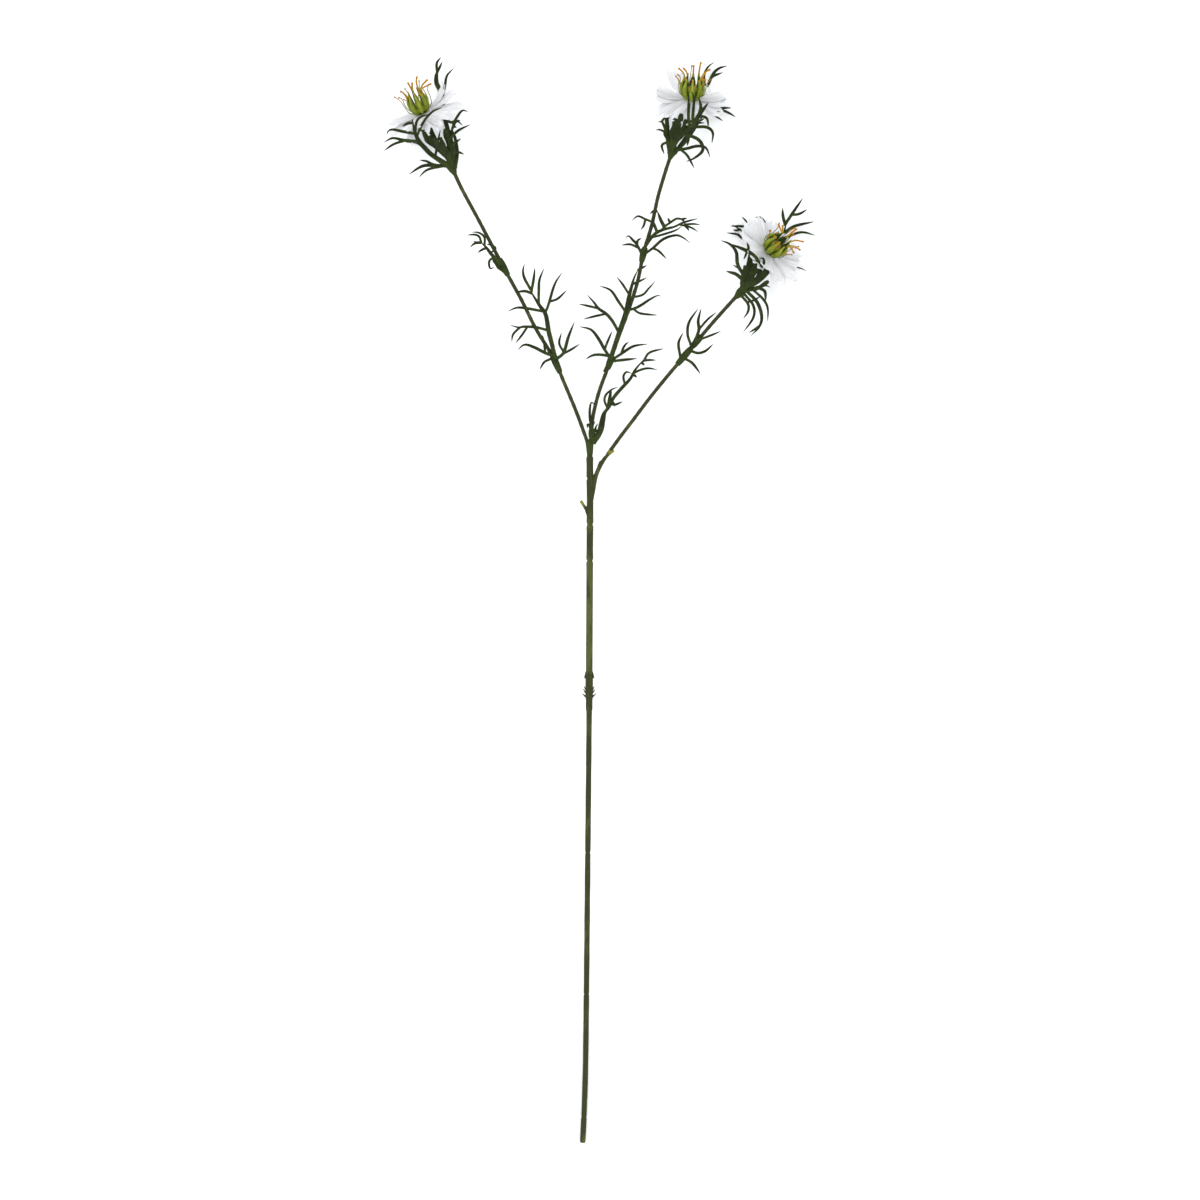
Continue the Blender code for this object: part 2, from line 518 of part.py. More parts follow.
def upper_stem(finish):
    """The moulded sleeve: node rings, cut stubs, and the crown's three arms, bored for the wires."""
    whole = raised(MAIN_LINE, MAIN_LINE)
    path = [at_y(whole, y) for y in SLEEVE_Y]
    mesh = bmesh.new()
    rod(mesh, path, [LOWER_STEM_RADIUS] + [UPPER_STEM_RADIUS] * (len(path) - 1), 8)
    made = piece("upper_stem", mesh, finish)

    more, bores = bmesh.new(), bmesh.new()
    for y in NODE_RINGS_Y:
        turned(more, at_y(whole, y), stem_way(whole, y), NODE_RING, 8)
    for side, plan in CROWN_ARMS.items():
        line = HEADS[side]["line"]
        arm = raised(plan, line)
        rod(more, arm, [BRANCH_RADIUS + 0.35] * (len(arm) - 2) + [BRANCH_RADIUS + 0.1, BRANCH_RADIUS], 8)
        start, next_point = raised(line[:2], line)
        way = (next_point - start).normalized()
        rod(bores, [start - way * 7, start + way * 2], [BRANCH_WIRE_RADIUS + FIT] * 2, 8)
    for plan in STUBS:
        root, tip = raised(plan, RIGHT_LINE)
        rod(more, [root, root.lerp(tip, 0.5), tip], STUB_RADII, 6)
    bottom = at_y(whole, JOIN_Y) - stem_way(whole, JOIN_Y) * 3
    top = at_y(whole, WIRE_END_Y + 2)
    rod(bores, [bottom, at_y(whole, -30), at_y(whole, 10), top], [MAIN_WIRE_RADIUS + FIT] * 4, 8)
    boolean(made, "UNION", piece("upper_stem_details", more))
    boolean(made, "DIFFERENCE", piece("upper_stem_bores", bores))


def barb_collar(finish):
    """A ring of short barbs on the sleeve, just above where the lower stem plugs in."""
    whole = raised(MAIN_LINE, MAIN_LINE)
    base, axis = at_y(whole, BARB_Y), stem_way(whole, BARB_Y)
    inner, half = UPPER_STEM_RADIUS + FIT, BARB_COLLAR_HALF
    outer = inner + 0.9
    mesh = bmesh.new()
    turned(mesh, base, axis, ((-half, inner), (1 - half, outer), (half - 1, outer), (half, inner)), 8)
    made = piece("barb_collar", mesh, finish)
    more = bmesh.new()
    for k in range(BARB_ROWS):
        turn = math.tau * (k + BARB_TURN) / BARB_ROWS
        out = Vector((math.cos(turn), 0, math.sin(turn)))
        for along, rise in BARBS:
            root = base + axis * along + out * (inner + 0.55)
            rod(more, [root, root + out * 1.4 + axis * rise], (0.45, 0.2), 3)
    boolean(made, "UNION", piece("barb_collar_barbs", more))


def branch(side, line, finish, wire_finish):
    """A branch's tube, and the wire that ties it to the crown."""
    path = raised(line, line)
    tube = bmesh.new()
    pipe(tube, path, BRANCH_RADIUS, BRANCH_WIRE_RADIUS + FIT, 7)
    piece(f"{side}_branch", tube, finish)
    first_way, last_way = (path[1] - path[0]).normalized(), (path[-1] - path[-2]).normalized()
    core = [path[0] - first_way * 6, *path[:-1], path[-1] - last_way]
    wire = bmesh.new()
    rod(wire, core, [BRANCH_WIRE_RADIUS] * len(core), 6)
    piece(f"{side}_wire", wire, wire_finish)


# Leaves and bracts

def with_heights(points, root, lift):
    """A strand's points with the heights that weren't given spread between those that were."""
    plan = [Vector(p[:2]) for p in points]
    run = [0.0]
    for a, b in zip(plan, plan[1:]):
        run.append(run[-1] + (b - a).length)
    known = [(0.0, root.z)] + [(d, p[2]) for d, p in zip(run[1:], points[1:]) if len(p) == 3]
    if known[-1][0] < run[-1]:
        known.append((run[-1], known[-1][1] + lift))
    found = [root.copy()]
    for distance, place in zip(run[1:], plan[1:]):
        for (d0, z0), (d1, z1) in zip(known, known[1:]):
            if d0 <= distance <= d1 + 1e-6:
                found.append(Vector((*place, z0 + (z1 - z0) * (distance - d0) / (d1 - d0))))
                break
    return found


def moved_clear(path, line, clear, under):
    """The path, raised (or lowered, if it runs under) where it would pass nearer to the line than clear."""
    side = -1 if under else 1
    found = [path[0]]
    for point in path[1:]:
        place, beside = nearest(line, point, flat=True)
        if beside < clear:
            least = place.z + side * math.sqrt(clear**2 - beside**2)
            point = Vector((point.x, point.y, side * max(side * point.z, side * least)))
        found.append(point)
    return found


def strands(mesh, listed, collar, seat, line, clear):
    """Strands that spring from the nearest strand already made, or else from the collar at seat radius.

    They stay clear of the line, which is the branch or the flower's stalk.
    """
    made = []
    for half_width, lift, points in listed:
        start = Vector((*points[0][:2], HEAD_HEIGHT))
        under = any(len(point) == 3 for point in points)
        near = [nearest(path, start, flat=True) for path, below in made if below or not under]
        near = min(near, key=lambda found: found[1], default=(None, math.inf))
        if near[1] < OWN_REACH:
            root = near[0]
        else:
            axis_point, _ = nearest(collar, start, flat=True)
            away = Vector((start.x - axis_point.x, start.y - axis_point.y, seat * (-0.9 if under else 0.8)))
            root = axis_point + away.normalized() * seat
        path = smooth(with_heights(points, root, lift), 4)
        short = (path[-1] - path[0]).length < SHORT_STRAND
        count = 6 if len(points) > 5 else 3 if short else 4
        path = moved_clear(spaced(path, count), line, clear, under)
        made.append((path, under))
        last = len(path) - 1
        widths = [half_width * (1 - (1 - NEEDLE_TIP) * (i / last) ** 1.5) for i in range(last + 1)]
        blade = half_width > BLADE_HALF_WIDTH
        rod(mesh, path, widths, 4 if blade else 3, 0.35 if blade else NEEDLE_FLATNESS)


def leaf(name, line, start_y, end_y, bulges, listed, finish):
    """A collar round the branch and the strands that spring from it."""
    path = smooth(raised(line, line), 3)
    base, end = at_y(path, start_y), at_y(path, end_y)
    inner, length = BRANCH_RADIUS + FIT, (end - base).length
    profile = [(0, inner + 0.35)]
    for k in range(bulges):
        profile.append((length * (k + 0.35) / bulges, COLLAR_RADIUS))
        profile.append((length * (k + 0.75) / bulges, COLLAR_RADIUS))
    profile += [(length, inner + 0.35), (length, inner), (0, inner)]
    mesh = bmesh.new()
    turned(mesh, base, end - base, profile, 10)
    made = piece(f"{name}_leaf", mesh, finish)
    more = bmesh.new()
    strands(more, listed, [base, end], (inner + COLLAR_RADIUS) / 2, path, COLLAR_RADIUS + 0.4)
    boolean(made, "UNION", piece(f"{name}_leaf_strands", more))


# Flowers

def flower_axes(head):
    """A flower's centre, the way it faces, and two directions across it."""
    facing, tilt = math.radians(head["facing"]), math.radians(head["tilt"])
    out = Vector((math.sin(facing) * math.cos(tilt), math.cos(facing) * math.cos(tilt), math.sin(tilt)))
    side = out.cross(UP).normalized()
    return Vector((*head["centre"], HEAD_HEIGHT + FLOWER_LIFT)), out, side, side.cross(out)


def branch_end(head):
    """The end of the branch that carries a flower, and its direction there."""
    line = raised(head["line"], head["line"])
    return line[-1], (line[-1] - line[-2]).normalized()


def around(head, along, radius, turn):
    """A place in a flower: along its axis from the calyx, out from it, and round it."""
    centre, out, side, up = flower_axes(head)
    return centre + out * along + (side * math.cos(turn) + up * math.sin(turn)) * radius


def stalk_path(head):
    """The flower's own stalk, from just past the branch's end to the flower's centre."""
    end, way = branch_end(head)
    centre, out, _, _ = flower_axes(head)
    root = end + way * FIT
    reach = (centre - root).length
    return spaced(smooth([root, root + way * 6, centre - out * reach * 0.35, centre - out * 5, centre], 4), 9)


def bracts(side, head, finish):
    """The receptacle that the branch plugs into, and the ferny bracts that spring from it."""
    end, way = branch_end(head)
    mesh = bmesh.new()
    turned(mesh, end, way, RECEPTACLE, 10)
    made = piece(f"{side}_bracts", mesh, finish)
    more = bmesh.new()
    strands(more, head["bracts"], [end, end + way * 3], 2.7, stalk_path(head), 3.1)
    boolean(made, "UNION", piece(f"{side}_bract_strands", more))


def calyx(side, head, finish):
    """The flower's own stalk, standing in the receptacle, with lobes under the petals and a peg socket."""
    centre, out, _, _ = flower_axes(head)
    mesh = bmesh.new()
    rod(mesh, stalk_path(head), [BRANCH_RADIUS] * 6 + [1.5, 2.6, 2.8], 6)
    made = piece(f"{side}_calyx", mesh, finish)
    more, bores = bmesh.new(), bmesh.new()
    turned(more, centre, out, CALYX_DISC, 10)
    for k in range(CALYX_LOBES):
        turn = math.tau * (k + 0.5) / CALYX_LOBES
        outward = around(head, 0, 1, turn) - centre
        across = out.cross(outward)
        thick = (out * 0.85 + outward * 0.5).normalized()
        rows = []
        for along, radius, half in CALYX_LOBE:
            middle = around(head, along, radius, turn)
            rows.append([(middle - across * half, thick), (middle, thick), (middle + across * half, thick)])
        slab(more, rows, 0.6)
    rod(bores, [centre - out * 4.5, centre + out * 3], [PEG_RADIUS + FIT] * 2, 8)
    boolean(made, "UNION", piece(f"{side}_calyx_lobes", more))
    boolean(made, "DIFFERENCE", piece(f"{side}_calyx_socket", bores))


def petals(side, layer, head, finish):
    """One die-cut disc of petals, toothed at their ends, held by a washer at its middle."""
    level, offset, leans = PETAL_LAYERS[layer]
    centre, out, _, _ = flower_axes(head)
    hole = PEG_RADIUS + FIT
    washer = ((-0.35, hole), (-0.35, WASHER_RADIUS), (0.35, WASHER_RADIUS), (0.35, hole))
    mesh = bmesh.new()
    turned(mesh, centre + out * level, out, washer, 9)
    made = piece(f"{side}_{layer}_petals", mesh, finish)
    more = bmesh.new()
    for k in range(PETALS):
        turn = math.radians(head["start"]) + math.tau * (k + offset) / PETALS
        outward = around(head, 0, 1, turn) - centre
        across = out.cross(outward)
        frontness = max(0.0, outward.z / math.cos(math.radians(head["tilt"])))
        lean = math.radians(leans[k] + head["front_lean"] * frontness)
        rows = []
        for share, half in PETAL_ROWS:
            row = []
            for column, end in PETAL_TEETH:
                reach = PETAL_LENGTH * (share if share < 1 else end)
                bend = lean * (reach / PETAL_LENGTH) ** 2
                place = centre + out * (level + reach * math.sin(bend)) + across * half * column
                place += outward * reach * math.cos(bend)
                thick = out * math.cos(1.6 * bend) - outward * math.sin(1.6 * bend)
                row.append((place, thick.normalized()))
            rows.append(row)
        slab(more, rows, PETAL_THICKNESS)
    boolean(made, "UNION", piece(f"{side}_{layer}_petal_blades", more))


def stamens(side, head, finish):
    """A washer with a ring of thin bowed filaments, each ending in an anther."""
    centre, out, _, _ = flower_axes(head)
    hole = PEG_RADIUS + FIT
    washer = ((-0.3, hole), (-0.3, STAMEN_WASHER_RADIUS), (0.3, STAMEN_WASHER_RADIUS), (0.3, hole))
    mesh = bmesh.new()
    turned(mesh, centre + out * STAMEN_LEVEL, out, washer, 8)
    made = piece(f"{side}_stamens", mesh, finish)
    more = bmesh.new()
    for k in range(FILAMENTS):
        turn = math.tau * (k + 0.25) / FILAMENTS
        path = [around(head, along, radius, turn) for along, radius, _ in FILAMENT]
        rod(more, path, [half for _, _, half in FILAMENT], 3)
    boolean(made, "UNION", piece(f"{side}_stamen_filaments", more))


def pod(side, head, finish):
    """The young seed pod: fat carpels round a cup, each drawn out into a style, on a peg."""
    centre, out, _, _ = flower_axes(head)
    mesh = bmesh.new()
    turned(mesh, centre, out, POD_CUP, 10)
    made = piece(f"{side}_pod", mesh, finish)
    more = bmesh.new()
    for k in range(CARPELS):
        turn = math.tau * k / CARPELS
        path = [around(head, along, radius, turn) for along, radius, _ in CARPEL]
        rod(more, path, [half for _, _, half in CARPEL], 4)
    boolean(made, "UNION", piece(f"{side}_pod_carpels", more))


def main():
    for old in list(bpy.data.objects):
        bpy.data.objects.remove(old, do_unlink=True)
    dark_green = material("dark green plastic", (0.036, 0.058, 0.025), 0.5)
    stem_green = material("stem green plastic", (0.065, 0.1, 0.035), 0.55)
    white = material("white satin cloth", (0.86, 0.86, 0.9), 0.7)
    pod_green = material("pod green plastic", (0.3, 0.4, 0.05), 0.45)
    orange = material("orange flocking", (0.62, 0.26, 0.02), 0.8)
    steel = material("galvanised wire", (0.55, 0.56, 0.58), 0.35, 1.0)

    lower_stem(stem_green)
    upper_stem(stem_green)
    barb_collar(dark_green)
    main_wire(steel)
    for side, head in HEADS.items():
        branch(side, head["line"], stem_green, steel)
    for name, (line, start_y, end_y, bulges, listed) in LEAVES.items():
        leaf(name, line, start_y, end_y, bulges, listed, dark_green)
    for side, head in HEADS.items():
        bracts(side, head, dark_green)
        calyx(side, head, dark_green)
        petals(side, "lower", head, white)
        petals(side, "upper", head, white)
        stamens(side, head, orange)
        pod(side, head, pod_green)


main()
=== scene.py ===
"""Blender add-on: an artificial nigella (love-in-a-mist) spray, lying on a pale floor.

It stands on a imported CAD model, which gives the frame, the sizes and the wires. +Y runs along the stem towards the
flowers and +Z is up. Tables and helpers are in millimetres, until MM turns a length into Blender's metres.
"""

import math

import bpy
from mathutils import Matrix, Vector


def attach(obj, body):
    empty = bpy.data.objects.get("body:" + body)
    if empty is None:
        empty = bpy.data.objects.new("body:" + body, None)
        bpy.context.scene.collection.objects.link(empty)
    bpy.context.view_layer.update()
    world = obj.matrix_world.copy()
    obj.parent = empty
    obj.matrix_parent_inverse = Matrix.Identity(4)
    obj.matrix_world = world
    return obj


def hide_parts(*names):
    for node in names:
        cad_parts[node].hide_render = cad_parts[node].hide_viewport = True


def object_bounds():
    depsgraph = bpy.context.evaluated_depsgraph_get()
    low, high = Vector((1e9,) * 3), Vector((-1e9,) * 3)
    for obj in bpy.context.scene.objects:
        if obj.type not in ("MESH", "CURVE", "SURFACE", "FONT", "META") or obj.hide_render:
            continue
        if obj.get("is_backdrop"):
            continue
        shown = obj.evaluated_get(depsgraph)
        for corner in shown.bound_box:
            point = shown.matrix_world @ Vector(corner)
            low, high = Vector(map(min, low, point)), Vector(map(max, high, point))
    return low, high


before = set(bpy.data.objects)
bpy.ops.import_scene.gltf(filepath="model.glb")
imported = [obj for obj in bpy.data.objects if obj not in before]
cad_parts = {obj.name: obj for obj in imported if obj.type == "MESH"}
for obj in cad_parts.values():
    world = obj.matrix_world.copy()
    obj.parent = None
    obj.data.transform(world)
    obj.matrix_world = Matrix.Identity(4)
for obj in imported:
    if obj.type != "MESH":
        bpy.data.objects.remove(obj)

bl_info = {
    "name": "Nigella Spray",
    "version": (1, 0, 0),
    "blender": (4, 5, 0),
    "location": "View3D > Sidebar > Nigella",
    "description": "Builds an artificial nigella spray piece by piece, and a plain studio round it",
    "category": "Add Mesh",
}

MM = 0.001
UP = Vector((0, 0, 1))

# Shared with the CAD frame
FIT = 0.3
LOWER_STEM_RADIUS = 1.65
UPPER_STEM_RADIUS = 2.05
BRANCH_RADIUS = 1.2
COLLAR_RADIUS = 2.6
TAIL_Y = -360.3
JOIN_Y = -74.0
FORK_Y = 96.0
FORK_HEIGHT = 18.0
HEAD_HEIGHT = 25.0
FLOWER_LIFT = 2.0

# Widths of the moulded parts over the frame's, or over the widths in the tables
STEM_FULLNESS = 1.13
BRANCH_FULLNESS = 1.06
NEEDLE_SWELL = 1.28
BLADE_FILL = 0.84

# Small parts. A profile lists (distance along the axis, radius).
SHEATH_RADIUS = 2.35
SKIN_VOXEL = 0.26  # size of the mesh that fuses the upper stem
BARBS = (  # root y, tip y, reach, half width and taper of each tier
    (-47.6, -52.0, 2.7, 0.8, 0.1), (-60.2, -57.0, 3.5, 0.6, 0.75), (-62.2, -58.9, 4.0, 0.65, 0.75),
    (-64.6, -62.0, 4.5, 0.7, 0.75),
)
RECEPTACLE = (
    (-2.6, 1.3), (-1.8, 1.65), (-0.6, 2.1), (0.8, 2.7), (2.4, 3.1), (3.8, 3.1), (4.6, 2.6), (5.0, 1.5),
)
CALYX_DISC = ((-3.0, 1.4), (-2.6, 2.2), (-0.9, 4.6), (-0.5, 5.0), (-0.1, 5.0), (0.1, 4.2))
POD_CUP = ((-0.2, 1.4), (2.0, 1.6), (2.6, 2.4), (4.0, 4.4), (6.0, 5.4), (8.5, 5.3), (9.5, 4.4), (10.0, 2.0))
CARPEL_WIDTHS = (0.9, 1.7, 2.05, 2.1, 1.9, 1.35, 0.8, 0.5)  # half widths at equal steps from base to beak
CALYX_LOBES = 5
CALYX_ROWS = 9
CALYX_THICKNESS = 0.6
PETAL_LEVELS = {"lower": 1.0, "upper": 2.1}  # height of each disc's washer along the flower's axis
PETAL_ROWS = 23
PETAL_COLUMNS = 21
PETAL_FILL = 0.8  # a petal's area over its length times its width
WASHER_RADIUS = 4.6
WASHER_BORE = 1.8
STAMEN_WASHER = ((3.6, 1.8), (3.65, 5.4), (4.15, 5.4), (4.2, 1.8))
COLLAR_START = -66.0
COLLAR_END = -49.0
BROAD = 1.5  # half width from which a strand is a broad lobe
NEEDLE_REACH = 1.3  # how far off a needle another may spring from it
SLEEVE_GAP = 0.15  # a sheath's least height over its branch

# Modelling
CURVE_STEPS = 8  # steps between two listed places of a curve
POINT_GAP = 0.8  # distance between the places of a swept line
FINE_GAP = 0.5
EASING = 6  # passes that even out a strand's heights
WELD = 1e-6
SMOOTH_ANGLE = 42
SKIN_SMOOTHING = 3
RIDGE_WIDTH = 0.12

# Stage
SENSOR = 36.0
FLOOR_GAP = 0.0001
FOCUS_SHARE = 0.37  # height in the spray, as a share, at which the view width is taken
FAR_CLIP = 50.0
LAMPS = (((-1.6, 0.9, 2.4), 2.2, 0.6), ((1.8, -0.6, 2.4), 2.4, 0.4))  # place, size and share of the power
SKY_COLOUR = (0.96, 0.98, 1.0, 1.0)

# Finishes
NO_OLIVE_ZONE = (-0.4, -0.39)  # start and end along y, in metres, that lie beyond the spray
HEART_COLOUR = (0.52, 0.58, 0.36)
# Painted shade on the sides and inner faces of the carpels
CARPEL_SHADE_COLOUR = (0.032, 0.055, 0.006)
# Painted highlight along the ridge of each carpel
RIDGE_HIGHLIGHT_COLOUR = (0.42, 0.46, 0.08)
BEAK_COLOUR = (0.40, 0.25, 0.015)
KNOB_COLOUR = (0.12, 0.085, 0.05)
FILAMENT_ROOT_COLOUR = (0.17, 0.2, 0.03)
STYLE_ROOT_COLOUR = (0.42, 0.3, 0.03)

# Stem centre lines, seen from above
MAIN_LINE = (
    (-11.5, -360.3), (-10.3, -333.9), (-9.5, -302.1), (-8.9, -250.0), (-8.4, -200.0), (-7.9, -150.0),
    (-7.4, -100.0), (-7.2, -74.0), (-7.1, -39.1), (-6.8, 24.5), (-6.6, 64.3), (-6.8, 96.0),
)
LEFT_LINE = (
    (-8.7, 105.6), (-15.4, 123.9), (-23.1, 142.4), (-31.2, 161.0), (-42.4, 179.5), (-51.7, 198.1),
    (-61.8, 216.6), (-71.7, 235.2), (-81.5, 253.7), (-91.5, 272.2), (-97.0, 284.0),
)
CENTRE_LINE = (
    (-5.3, 105.6), (-5.0, 119.2), (-0.9, 137.1), (5.9, 155.7), (12.3, 174.2), (19.2, 192.8), (25.0, 211.3),
    (28.8, 229.8), (34.3, 248.4), (38.4, 267.0), (43.9, 285.5), (47.0, 294.5),
)
RIGHT_LINE = (
    (7.75, 100.3), (14.3, 109.3), (21.9, 119.2), (31.9, 132.5), (42.5, 145.7), (53.7, 159.0),
    (64.9, 172.2), (76.3, 185.5), (87.7, 198.2), (91.3, 201.8),
)
CROWN_WEB = ((-6.7, 97.0), (-6.9, 101.0), (-6.9, 105.0), (-7.1, 106.6))
CROWN_ARMS = {  # the moulded arms that carry the branches
    "left": ((-6.8, 90.0), (-7.2, 96.0), (-8.55, 105.2)),
    "centre": ((-6.8, 90.0), (-6.2, 96.0), (-5.3, 105.2)),
    "right": ((-6.0, 66.0), (-4.6, 73.0), (-3.2, 80.5), (-1.2, 86.3), (2.3, 92.6), (7.4, 99.8)),
}

# A strand of a leaf: half width, rise from root to tip, and its points seen from above. A third number in a
# point is its height above the floor.
LEFT_LOWER_LEAF = (
    (1.05, 3, ((-29.5, 160), (-32, 170), (-34, 178), (-36, 189), (-40, 195), (-45, 203), (-46, 206))),
    (0.65, -2, ((-46, 205.5), (-50, 213), (-51, 218), (-50, 222.5))),
    (0.65, 5, ((-45.5, 204), (-44, 212), (-43, 220))),
    (0.65, 3, ((-45, 203), (-50, 204.5), (-56, 203.5))),
    (0.65, 7, ((-40.5, 196), (-40.5, 205), (-40, 212), (-37, 219.5))),
    (0.65, 2, ((-36, 190), (-34, 196), (-30, 209), (-25, 217))),
    (0.55, 4, ((-33.3, 197.5), (-28, 199.5), (-22, 205))),
    (0.65, 4, ((-37, 191), (-48, 193), (-55, 193.5), (-61, 191))),
    (0.65, 2, ((-34, 178.5), (-42, 180.5), (-50, 181), (-54, 180.5), (-59.5, 182))),
    (0.55, -3, ((-53, 180.6), (-57.5, 176), (-58.5, 171))),
    (0.55, 3, ((-48, 180.9), (-52, 175), (-56, 170))),
    (0.75, 4, ((-31, 161), (-36, 163.5), (-44, 167.5), (-50, 169), (-54.5, 165.5))),
    (0.55, -2, ((-33, 159.5), (-37, 157.5), (-40, 152.5))),
    (0.55, 5, ((-36.3, 163.7), (-37, 170), (-38, 175.5))),
    (0.75, 1, ((-28, 160), (-24, 164), (-21, 174), (-17, 184))),
    (0.55, 4, ((-24, 164.2), (-27, 170), (-25.5, 177))),
    (0.55, -3, ((-25, 163.2), (-19, 166), (-13.5, 169.5))),
)
LEFT_UPPER_LEAF = (
    (1.7, 1, ((-64.6, 216.5), (-67, 220), (-69.5, 224.5), (-71, 228))),
    (0.8, 3, ((-66, 222), (-68, 225), (-72, 229), (-75, 233), (-79, 237))),
    (0.55, 2, ((-78.5, 236.5), (-80, 240.5), (-83, 241.8), (-88, 241.5))),
    (0.55, 4, ((-76.5, 234.5), (-76.5, 240), (-80, 243), (-85, 243.5))),
    (0.55, -3, ((-78.5, 236.4), (-83, 236), (-86, 233.5))),
    (0.55, -3, ((-75, 233), (-78, 232), (-81, 230))),
    (0.55, -4, ((-70, 227), (-73, 225), (-73.5, 222), (-72.5, 219.5), (-70, 220.5))),
    (0.45, 2, ((-72.5, 229.7), (-69, 233), (-74, 236))),
    (0.45, 0, ((-79, 236.8), (-81.5, 236.8), (-84, 237.5))),
    (0.45, 1, ((-69.8, 233.4), (-72.5, 235), (-75, 235.5))),
)
CENTRE_LOWER_LEAF = (
    (1.1, 1, ((7, 160), (13, 178), (17, 190), (19, 200), (20.5, 206), (22.5, 213), (25, 218.5))),
    (0.75, 3, ((6, 160), (3, 166), (-1, 173), (-6, 179), (-13.5, 181))),
    (0.65, -2, ((5, 161), (0, 162.5), (-5, 162), (-9.5, 159.5))),
    (0.55, 5, ((3.2, 166), (5, 171), (8, 178))),
    (0.65, 3, ((9, 159.5), (14, 163), (22, 168), (31.5, 169.5))),
    (0.55, 5, ((14, 163), (16, 168), (19, 171))),
    (0.65, -2, ((9, 158), (15, 159), (24.5, 160))),
    (0.75, 4, ((12.5, 177), (8, 185), (4, 189.5), (-1, 193), (-4, 197), (-8.5, 202))),
    (0.55, -2, ((-1, 193), (-7, 194.5), (-14, 196))),
    (0.55, -3, ((4, 189.5), (-3, 188), (-11, 186))),
    (0.65, 5, ((17, 190.5), (12, 198), (7, 205), (-0.5, 208))),
    (0.65, 2, ((17.3, 191.5), (25, 194), (33, 199), (38, 201.5), (40.5, 201))),
    (0.55, 5, ((22, 192.9), (26, 190), (32, 189), (38, 188.5))),
    (0.55, 3, ((19.5, 202), (15, 209), (11, 214))),
    (0.55, 3, ((19, 200), (28, 202), (32, 206), (36.5, 211))),
    (0.55, 2, ((21.5, 209), (27, 211.5), (31, 213.5))),
    (0.55, 1, ((25, 218.3), (28, 220), (31, 221.5))),
    (0.65, 1, ((4.2, 154), (3.2, 152), (1.8, 151.5))),
)
CENTRE_UPPER_LEAF = (
    (0.75, 4, ((28.5, 231), (32.5, 237.8), (36.4, 242.4), (41.7, 245.1), (48.4, 246.8), (53, 248.4), (55.6, 248.4))),
    (0.65, 3, ((27, 230), (24, 236), (22, 238), (19, 241), (17, 239.5))),
    (0.55, -3, ((25.5, 233), (20, 235.5), (14, 235))),
    (0.55, 2, ((24.5, 235), (25, 238), (27.5, 239.5))),
    (0.65, -1, ((30, 229.5), (35, 233), (42, 239), (50, 241.5), (55, 240), (59.5, 236.5))),
    (0.55, -4, ((35, 233), (39, 231), (44, 226))),
    (0.55, 2, ((34.4, 239.8), (40.4, 241.6), (47, 243.6), (51, 245.2), (54, 247.4))),
    (0.7, 6, ((37.8, 243.4), (36.4, 247.1), (35.2, 250), (34.4, 252.5))),
    (0.8, 4, ((41.7, 245.4), (42.4, 247.1), (40.4, 251.1), (38, 257.2))),
    (0.55, 4, ((42.4, 247.1), (46.4, 249.7), (48.4, 251.1), (51, 252.4), (54.3, 251.7), (56.3, 249.1), (55.6, 247.1))),
    (0.55, 1, ((46.6, 249.9), (45.6, 251.2), (45, 253))),
    (0.5, 1, ((53.8, 251.8), (57.6, 252.6))),
    (0.5, 3, ((50, 247.2), (54.5, 249.6), (60.3, 251.3), (64.9, 252.4))),
    (0.5, -1, ((55.6, 248.4), (61.6, 248.9), (66.2, 248.4))),
    (0.5, -4, ((53, 248.4), (57, 247.6), (60.9, 246.3), (64.9, 243.8))),
    (0.5, -1, ((56.2, 247.9), (57.8, 246.2), (59, 244.4))),
    (0.55, -2, ((35.2, 249.8), (30, 252), (25, 254), (21, 251))),
    (0.55, -2, ((30, 251.9), (29, 248), (27, 245))),
    (0.55, 1, ((38, 257.2), (35.5, 257.3), (33, 255.5))),
)
FORK_LEAF = (
    (1.4, -1, ((-4.2, 103.5), (-2, 108), (0.4, 113), (1.6, 118.5), (3, 124), (6, 128))),
    (0.8, 0, ((1.8, 119), (3, 124), (6, 128), (9, 134), (14, 140), (20, 146.5), (23, 152), (27, 157), (30, 160))),
    (0.5, 2, ((-3.6, 110), (-5, 114.5), (-3.2, 118.5))),
    (0.5, 1, ((-1.6, 109.5), (-3, 113.5), (-1.4, 117))),
    (0.55, 3, ((29.5, 159.4), (33, 164), (42, 166.5))),
    (0.55, -2, ((28.5, 158.4), (32, 159), (37, 159))),
    (0.55, 4, ((22, 150.2), (27, 152.5), (32, 153.5), (38, 152.5))),
    (0.55, 5, ((16.5, 142.7), (15.5, 148), (17.5, 151), (21, 150))),
    (0.55, 6, ((5, 127), (3, 132), (4, 136), (8, 139.5), (12, 141))),
    (0.8, 4, ((5.5, 127.5), (6, 131), (7.5, 140))),
    (0.55, -4, ((7, 130), (10, 129.5), (15, 131.5))),
    (0.55, -1, ((27.5, 157.3), (28.5, 156.5), (29.5, 155.5))),
    (0.55, 0, ((21.5, 149), (23, 148.7), (24.5, 147.5))),
    (0.55, -1, ((8, 131.5), (9.2, 130), (10, 128))),
    (0.65, 2, ((-5.6, 112), (-6.3, 118), (-6.8, 124), (-6.5, 128.5), (-5.5, 131), (-3.6, 129))),
    (0.65, 1, ((-5.8, 111), (-6.8, 115.5), (-8.2, 116.3), (-8.4, 113.8))),
)
RIGHT_LEAF = (
    (0.65, 6, ((53, 161), (52, 170), (55, 177))),
    (0.65, 4, ((60, 169), (58, 176), (59, 184), (65, 193))),
    (0.75, 3, ((63, 172), (65.5, 179), (65, 185), (67, 193))),
    (0.55, -1, ((65.5, 179), (71, 185.5), (77, 190.5))),
    (0.55, -3, ((66, 172.5), (74, 175.5), (80, 178))),
    (0.65, 3, ((60, 165), (65, 163.5), (70, 165), (75, 169.5))),
    (0.65, -4, ((56, 160), (61, 157), (65, 152), (66.5, 149.5))),
)
